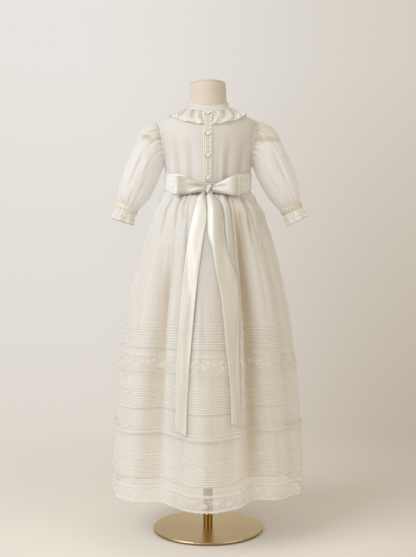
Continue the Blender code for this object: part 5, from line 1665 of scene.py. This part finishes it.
def drawn_in(amount, place):
    """How far the sleeve's lower half hangs towards the body."""
    return np.stack(np.broadcast_arrays(-amount * ease(2.0, 6.5, place), 0.0, 0.0), axis=-1)


def sleeve_painted_shade(name, row, points, taken_in, unlined):
    """Painted shade, in tan, on the sleeve: over its unlined head, in its creases, and in patches on the
    head.
    """
    x, z = points[..., 0], points[..., 2]
    warm = row.head_warm * unlined + np.clip(80.0 * (taken_in - 0.0014), 0.0, 0.40)
    for patch in SLEEVE_SHADE_PATCHES[name]:
        away = np.hypot((np.abs(x) - patch.x) / patch.half_x, (z - patch.height) / patch.half_height)
        away = away + 0.18 * np.sin(900.0 * z + 260.0 * x)
        warm = warm + patch.strength * ease(1.15, 0.45, away) * unlined
    return np.clip(warm, 0.0, 1.0)


def add_sleeve(name, row):
    """Bishop sleeve, gathered into the armhole and the wristband."""
    turn = np.radians(all_round(220))
    place = np.concatenate((np.linspace(0.0, 1.0, 16)[:-1], np.linspace(1.0, 8.0, 76)))
    points = (sleeve_points(place, turn) + drawn_in(row.drawn_in, place)[:, None]) * (row.side, 1.0, 1.0)
    unlined = ease(SLEEVE_LINED_Z - 0.0012, SLEEVE_LINED_Z + 0.0012, points[..., 2])
    # Painted shade, in tan, on the head, in creases and in patches.
    warm = sleeve_painted_shade(name, row, points, sleeve_taken_in(place, turn), unlined)
    dense = np.maximum(ease(0.12, 0.05, place), ease(7.80, 7.92, place))[:, None]
    cloth = add_cloth(f"sleeve_{name}_cloth", points, SLEEVE_ORGANZA, closed=True, outward=row.side < 0,
                      dense=np.maximum(dense, mix(0.45, row.head_dense, unlined)),
                      warm=warm * ease(0.0, 0.2, place)[:, None])
    wear(f"sleeve_{name}")


def sleeve_end(row):
    """The middle of a sleeve's end and the arm's direction there."""
    last = SLEEVE_RINGS[-1]
    middle = np.array([0.5 * (last.outer_x + last.inner_x) - row.drawn_in, 0.0,
                       0.5 * (last.outer_z + last.inner_z)])
    return middle, unit(np.array([last.outer_z - last.inner_z, 0.0, last.inner_x - last.outer_x]))


def add_wristband(name, row):
    """Gathered wristband."""
    turn = np.radians(all_round(220))
    middle, along = sleeve_end(row)
    rings, hollows = [], []
    for share in np.linspace(0.0, 1.0, 13):
        ruche = np.sin(CUFF_PLEATS * turn + 2.2 * np.sin(2.0 * turn) + 1.1 * math.sin(5.0 * share))
        ruche = ruche * (0.60 + 0.40 * math.cos(2.0 * math.pi * share))
        swell = 0.0006 * ruche + 0.0006 * math.sin(math.pi * share) + 0.0004
        rings.append(cuff_ring(middle + (SEAM + WRISTBAND_HEIGHT * share) * along, along, turn, 1.0, swell))
        # Painted shade, in tan, in the ruche's hollows, stronger on the wearer's right sleeve.
        hollows.append(np.clip(0.30 - 0.14 * row.side - 0.36 * ruche, 0.0, 0.9))
    piece = add_cloth(f"wristband_{name}_cloth", np.stack(rings) * (row.side, 1.0, 1.0), BAND_ORGANZA,
                      closed=True, outward=row.side < 0, dense=0.8, warm=np.stack(hollows))
    thicken(piece, WRISTBAND_THICKNESS)
    wear(f"wristband_{name}")


def cuff(row, around, share):
    """The frill's surface at turns round the wrist and shares of its length."""
    around, share = np.broadcast_arrays(np.asarray(around, float), np.asarray(share, float))
    middle, along = sleeve_end(row)
    lean = math.radians(row.lean)
    hanging = np.array([math.sin(lean), 0.0, -math.cos(lean)])
    way = mix(along, hanging, (0.5 + 0.5 * share)[..., None])
    middle = middle + (2.0 * SEAM + WRISTBAND_HEIGHT) * along + (CUFF_LENGTH * share)[..., None] * way
    direction = unit(mix(along, hanging, share[..., None]))
    phase = 0.9 * np.sin(2.0 * around + 0.6)
    swell = -CUFF_WAVE * share * np.cos(CUFF_WAVES * around + phase)
    swell = swell + 0.0005 * np.sin(CUFF_PLEATS * around + phase) * (1.0 - share)
    return cuff_ring(middle, direction, around, mix(1.0, CUFF_FLARE, share), swell) * (row.side, 1.0, 1.0)


def add_cuff(name, row):
    """Lace frill below the wristband, with sprigs, leaves, scallops and picot loops."""
    turn = np.radians(all_round(330))
    hang = 1.0 - 0.045 + 0.055 * np.abs(np.sin(0.5 * CUFF_SCALLOPS * turn))
    shares = np.array([0.0, 0.05, 0.12, 0.22, 0.34, 0.47, 0.60, 0.72, 0.83, 0.92, 1.0])[:, None]
    frill = cuff(row, turn, shares * hang)
    # Painted shade, in tan, in the pleats near the wristband.
    gathered = 0.30 * ease(0.35, 0.0, shares) * (0.5 + 0.5 * np.sin(CUFF_PLEATS * turn))
    piece = add_cloth(f"cuff_{name}_lace", frill, NET, closed=True, outward=row.side < 0, warm=gathered,
                      dense=np.where((shares < 0.03) | (shares > 0.88), 1.0, 0.55))
    wear(f"cuff_frill_{name}")

    edge, inner = closing(frill[-1]), closing(frill[-3])
    length = travelled(edge)[-1]

    def plane(across, away):
        return cuff(row, across / length * 2.0 * math.pi, 1.0 - away / CUFF_LENGTH)

    def lay(shape, place, away):
        return stamp(shape, plane, place * length, away, facing=row.side)

    parts = [round_thread(frill[-1], 0.0005)] + picot_loops(edge, edge - inner, 0.0030, 0.0013)
    for index in range(CUFF_SPRIGS):
        parts.append(lay(sprig(0.0125, by_turns(index)), (index + 0.5) / CUFF_SPRIGS, 0.0095))
        parts.append(lay(blossom(0.0042), index / CUFF_SPRIGS, 0.0165))
    for index in range(CUFF_SCALLOPS):
        parts.append(lay(petal(0.0028, 0.0015, 0.0004, 180.0, 0.0), (index + 0.5) / CUFF_SCALLOPS, 0.0042))
    add_joined(f"cuff_{name}_embroidery", parts, LACE_THREAD)


# ---------------------------------------------------------------- sash and bow
def sash_drawn(angle):
    """How much the sash is drawn together at an angle: 1 at the knot."""
    nearest, farthest = SASH_DRAWN_ANGLES
    return ease(farthest, nearest, np.abs(turn_between(angle, 0.0)))


def sash_depth(x):
    """How far back the sash's outer face lies at a distance from the centre line."""
    return SASH_HALF_DEPTH * np.sqrt(1.0 - (x / SASH_HALF_WIDTH) ** 2)


def sash(angle, share):
    """The sash's outer face at angles and shares of its height, creased where it is drawn together."""
    drawn = sash_drawn(angle)
    turned = np.abs(turn_between(angle, 0.0))
    low = mix(SASH_LOW_Z, SASH_DRAWN_LOW_Z, drawn) + read_table(SASH_RISES, "low", turned, "angle")
    top = mix(SASH_TOP_Z, SASH_DRAWN_TOP_Z, drawn) + read_table(SASH_RISES, "top", turned, "angle")
    creased = mix(0.30, 1.0, drawn) * np.sin(2.0 * math.pi * (3.2 * share + 0.25 * uneven(angle, 0.035)))
    slack = 0.0006 * uneven(angle + 20.0 * share, 0.09) * (1.0 - drawn)
    swell = 0.0007 * creased + slack - 0.0004 * (2.0 * share - 1.0) ** 8
    return on_ellipse(angle, SASH_HALF_WIDTH + swell, SASH_HALF_DEPTH + swell, mix(low, top, share))


def add_sash():
    """Satin ribbon round the waist, with small tone-on-tone sprigs where it lies flat."""
    angles = all_round(300)
    shares = np.linspace(1.0, 0.0, 33)[:, None]
    # A random tan tone along the ribbon, and painted shade where it is drawn together at the knot and on the
    # wearer's right side, turned from the key light.
    warm = 0.22 * (0.5 + 0.5 * uneven(angles + 60.0 * shares, 0.11)) + 0.40 * sash_drawn(angles)
    warm = warm + 0.16 * ease(359.0, 310.0, angles) * ease(180.0, 220.0, angles)
    piece = add_cloth("sash_ribbon", sash(angles, shares), SATIN, closed=True, warm=warm)
    thicken(piece, RIBBON_THICKNESS)
    wear("sash_band")
    parts = [tube_arrays(sash(angles, share), 0.00045, closed=True) for share in (1.0, 0.0)]

    def plane(across, along):
        return sash(np.degrees(across / SASH_HALF_WIDTH), along / (SASH_TOP_Z - SASH_LOW_Z))

    around = math.radians(360.0) * SASH_HALF_WIDTH
    first, last = (math.radians(angle) * SASH_HALF_WIDTH for angle in SASH_SPRIG_ANGLES)
    count = int((last - first) / SASH_SPRIG_PITCH)
    for index in range(count):
        place = first + (index + 0.5) * (last - first) / count
        flip = by_turns(index)
        for height in SASH_SPRIG_ROWS:
            parts.append(stamp(sprig(0.0105, flip), plane, (place + 0.0020 * flip) % around, height))
            flip = -flip
    add_joined("sash_selvedges", parts, THREAD)


def loop_points(loop, shares_along, across):
    """A bow loop: out along its rear layer, round the fold and back along its front layer."""
    turn = mix(LOOP_START_TURN, math.pi - LOOP_START_TURN, shares_along)[None, :]
    across = across[:, None]
    reach, least_reach = np.sin(turn), math.sin(LOOP_START_TURN)
    start = 0.5 * KNOT_GAP + SEAM
    x = KNOT_X + loop.side * (start + loop.length * (reach - least_reach))
    share = ease(0.0, 0.85, reach)
    half_height = mix(LOOP_KNOT_HALF_HEIGHT, loop.outer_half_height, share)
    middle_z = KNOT_Z + loop.centre_rise * share
    front = ease(0.42 * math.pi, 0.58 * math.pi, turn)
    out = np.clip((reach - least_reach) / (1.0 - least_reach), 0.0, 1.0)
    table = LOOP_FRONTS[loop.side]
    face = read_table(table, "out", out, "share")
    rear = 0.0004 + 0.0012 * ease(0.0, 0.3, out)
    recede = 0.55 * (SASH_HALF_DEPTH - sash_depth(x))
    roll_at, roll_out = mix(-0.05, -0.80, out / 0.5), ease(0.62, 0.40, out) * ease(0.0, 0.10, out)
    roll = 0.0052 * np.exp(-((across - roll_at) / 0.34) ** 2) * roll_out
    hollow = 0.0036 * np.exp(-((across - roll_at - 0.75) / 0.30) ** 2) * roll_out
    tucked = 0.0026 * ease(0.70, 1.0, np.abs(across)) * ease(1.0, 0.8, out)
    y = SASH_HALF_DEPTH + SEAM + 0.0008 - recede + mix(rear, face + roll - hollow - tucked, front)
    wave = 0.0008 * np.sin(2.4 * across + 3.0 * reach + loop.side) * share * front
    z = middle_z + half_height * across
    x, y, z = np.broadcast_arrays(x, y + wave, z)
    # Painted shade: as the table gives where the front layer turns from the light, less on the lit roll, more
    # in the hollow beside it.
    shaded = read_table(table, "warm", out, "share")
    lit = np.exp(-((across - roll_at) / 0.34) ** 2) * roll_out
    warm = np.clip(shaded * (1.0 - 0.85 * lit) * front + 150.0 * hollow, 0.0, 0.95)
    return np.stack((x, y, z), axis=-1), np.broadcast_to(warm, x.shape)


def add_bow_loop(name, loop):
    """One loop of the bow, with stitched selvedges."""
    points, warm = loop_points(loop, np.linspace(0.0, 1.0, 81), np.linspace(1.0, -1.0, 25))
    piece = add_cloth(f"bow_loop_{name}_ribbon", points, SATIN, outward=loop.side < 0, warm=warm)
    thicken(piece, RIBBON_THICKNESS)
    wear(f"bow_loop_{name}")
    edges = [tube_arrays(points[row], 0.00050) for row in (0, -1)]
    add_joined(f"bow_loop_{name}_selvedges", edges, THREAD)


def add_knot():
    """The ribbon drawn slantwise round the middle of the bow, in a few folds."""
    around = np.radians(all_round(80))
    rise = np.radians(np.linspace(88.0, -88.0, 40))[:, None]
    folds = np.sin(4.0 * around + 0.9 * rise + 0.6) * 0.11 + 0.05 * np.sin(9.0 * around - 1.4 * rise)
    folds = folds * np.cos(rise) ** 0.4
    ring = np.cos(rise) ** 0.50 * (1.0 + folds) * (1.0 - 0.16 * np.cos(2.2 * rise - 0.5))
    flat = np.sign(np.cos(around)) * np.abs(np.cos(around)) ** 0.8
    deep = np.sign(np.sin(around)) * np.abs(np.sin(around)) ** 0.8
    x = 0.5 * KNOT_WIDTH * flat * ring
    y = 0.5 * KNOT_DEPTH * deep * ring
    z = 0.5 * KNOT_LENGTH * np.sign(rise) * np.abs(np.sin(rise)) ** 0.9 + 0.0010 * np.cos(around)
    slant = math.radians(KNOT_SLANT)
    x, z = x * math.cos(slant) - z * math.sin(slant), x * math.sin(slant) + z * math.cos(slant)
    centre = np.array([KNOT_X, SASH_HALF_DEPTH + SEAM + 0.5 * KNOT_DEPTH + 0.0004, KNOT_Z])
    points = np.stack(np.broadcast_arrays(x, y, z), axis=-1) + centre
    # Painted shade, in tan, in the knot's folds and towards its ends.
    warm = np.clip(0.55 - 5.5 * folds + 0.30 * ease(0.4, 1.3, np.abs(rise)), 0.0, 0.95)
    piece = add_cloth("bow_knot_ribbon", points, SATIN, closed=True, warm=warm)
    wear("bow_knot")


def skirt_cover(x, heights):
    """How far back the skirt reaches near places across it: where a ribbon that lies on it has to be."""
    places = np.arange(-0.090, 0.0905, 0.001)
    angles = np.linspace(-42.0, 42.0, 337)
    cover = []
    for row, height in zip(x, heights):
        line = skirt(angles, height)
        behind = np.interp(places, np.maximum.accumulate(line[:, 0]), line[:, 1])
        highest = np.lib.stride_tricks.sliding_window_view(np.pad(behind, 4, mode="edge"), 9).max(axis=-1)
        evened = np.lib.stride_tricks.sliding_window_view(np.pad(highest, 3, mode="edge"), 7).mean(axis=-1)
        cover.append(np.interp(row, places, evened))
    return np.array(cover)


def tail_points(name, table):
    """A ribbon end that hangs over the skirt, with a diagonal cut."""
    shares = np.linspace(0.0, 1.0, 21)
    heights = np.linspace(table[0].height, table[-1].height, 150)[:, None]
    left, right, ridge_out, ridge, left_shade, right_shade = (
        read_table(table, column, heights) for column in TailRow._fields[1:]
    )
    x = mix(right, left, shares)
    slant = ease(0.40, table[-1].height, heights)
    z = heights + slant * TAIL_SLANT[name] * (0.5 - shares)
    clearance = TAIL_CLEARANCE
    for extra, middle, reach in TAIL_OVER_TRIM:
        clearance = clearance + extra * bell(heights - middle, reach)
    top_depth = mix(TAIL_LOW_DEPTH, TAIL_TOP_DEPTH, ease(0.660, 0.690, heights))
    behind = np.maximum(top_depth, skirt_cover(x, heights[:, 0]) + clearance)
    phase = TAIL_PHASE[name]
    to_edge = np.minimum(shares / ridge, (1.0 - shares) / (1.0 - ridge))
    ridged = ridge_out * np.sin(0.5 * math.pi * np.clip(to_edge, 0.0, 1.0)) ** 1.2
    soft = 0.0006 * np.sin(38.0 * heights + phase + 3.0 * shares) * np.sin(math.pi * shares)
    crease = 0.0006 * np.exp(-((shares - 0.35 - 0.25 * np.sin(17.0 * heights + phase)) / 0.12) ** 2)
    out = ridged + soft + crease * ease(0.68, 0.60, heights)
    # Painted shade, in tan, to each side of the ridge, as the table gives.
    warm = mix(right_shade, left_shade, ease(ridge - 0.12, ridge + 0.06, shares))
    return np.stack(np.broadcast_arrays(x, behind + np.maximum(out, 0.0), z), axis=-1), warm


def add_tail(name, table):
    """One tail of the bow, with stitched selvedges."""
    points, warm = tail_points(name, table)
    piece = add_cloth(f"bow_tail_{name}_ribbon", points, SATIN, warm=warm)
    thicken(piece, TAIL_THICKNESS)
    wear(f"bow_tail_{name}")
    parts = [tube_arrays(line, 0.0003) for line in (points[:, 0], points[:, -1], points[-1])]
    add_joined(f"bow_tail_{name}_selvedges", parts, THREAD)


# ---------------------------------------------------------------- studio
def add_camera():
    """The camera behind the gown, level, as far away as the photographer's."""
    data = bpy.data.cameras.new("camera")
    data.sensor_width = SENSOR
    data.lens = FOCAL_PIXELS * SENSOR / IMAGE_HEIGHT
    data.clip_start = 0.01
    camera = bpy.data.objects.new("camera", data)
    camera.location = CAMERA_PLACE
    camera.rotation_euler = (math.radians(90.0), 0.0, math.radians(180.0))
    bpy.context.scene.collection.objects.link(camera)
    bpy.context.scene.camera = camera


def add_light(name, place, aim, size, power, colour):
    """A soft square light."""
    data = bpy.data.lights.new(name, "AREA")
    data.size = size
    data.energy = power
    data.color = colour
    light = bpy.data.objects.new(name, data)
    light.location = place
    light.rotation_euler = (Vector(aim) - Vector(place)).to_track_quat("-Z", "Y").to_euler()
    bpy.context.scene.collection.objects.link(light)


def add_world():
    """Pale studio, darker away from the key light. It looks bright, and lights the gown more weakly."""
    look = Look("studio", "worlds")
    bpy.context.scene.world = look.block
    towards = look.add("ShaderNodeTexCoord").outputs["Generated"]
    parts = look.add("ShaderNodeSeparateXYZ", {0: towards}).outputs
    right = look.ramp(parts[0], 0.16, -0.30, interpolation_type="SMOOTHSTEP")
    low = look.ramp(parts[2], 0.25, -0.25)
    upper = look.colour(right, BACKDROP_LIT, BACKDROP_SHADED)
    lower = look.colour(right, BACKDROP_LOW_LIT, BACKDROP_LOW_SHADED)
    seen = look.add("ShaderNodeBackground", {"Color": look.colour(low, upper, lower)}).outputs[0]
    warm_light = {"Color": (1.0, 0.915, 0.775, 1.0), "Strength": 0.57}
    lighting = look.add("ShaderNodeBackground", warm_light).outputs[0]
    camera_ray = look.add("ShaderNodeLightPath").outputs["Is Camera Ray"]
    look.add("ShaderNodeOutputWorld", {"Surface": look.blend(camera_ray, lighting, seen)})


def add_floor():
    """Pale floor that fades into the studio a little way behind the gown."""
    look = Look("floor")
    far = look.ramp(look.round_axis()[1], 0.30, 1.20)
    cloudy = look.noise((3.0, 3.0, 1.0), 2.0, "Object")
    base = look.colour(look.scaled(cloudy, 0.0, 0.3), (0.83, 0.795, 0.745), (0.79, 0.755, 0.70))
    ground = look.add("ShaderNodeBsdfPrincipled", {"Base Color": base, "Roughness": 0.65}).outputs[0]
    clear = look.add("ShaderNodeBsdfTransparent").outputs[0]
    half, below = 3.0, -0.0002
    mesh = bpy.data.meshes.new("floor")
    mesh.from_pydata([(x * half, y * half, below) for x, y in ((-1, -1), (1, -1), (1, 1), (-1, 1))], [],
                     [(0, 1, 2, 3)])
    mesh.materials.append(look.finish(look.blend(far, ground, clear)))
    floor = bpy.data.objects.new("floor", mesh)
    bpy.context.scene.collection.objects.link(floor)


add_camera()
add_world()
add_floor()
add_light("key", place=(1.85, 1.55, 1.85), aim=(0.0, 0.0, 0.55), size=2.0, power=58.0,
          colour=(0.968, 1.0, 1.055))
add_light("fill", place=(-1.7, 1.4, 0.9), aim=(0.0, 0.0, 0.45), size=1.6, power=11.0,
          colour=(1.0, 0.90, 0.75))
bpy.context.scene.view_settings.view_transform = "Standard"

dress_stand()
add_form()
add_skirt_panels()
add_insertion()
add_tier_ribbon()
add_hem_lace()
add_underskirt()
add_bodice_backs()
add_bodice_front()
add_piping()
add_placket()
add_button_loops()
add_buttons()
add_neck_band()
add_collar("left", 1.0)
add_collar("right", -1.0)
for side_name, sleeve in SLEEVE_SIDES.items():
    add_sleeve(side_name, sleeve)
    add_wristband(side_name, sleeve)
    add_cuff(side_name, sleeve)
add_sash()
for side_name, bow_loop in BOW_LOOPS.items():
    add_bow_loop(side_name, bow_loop)
add_knot()
for side_name, tail in TAILS.items():
    add_tail(side_name, tail)
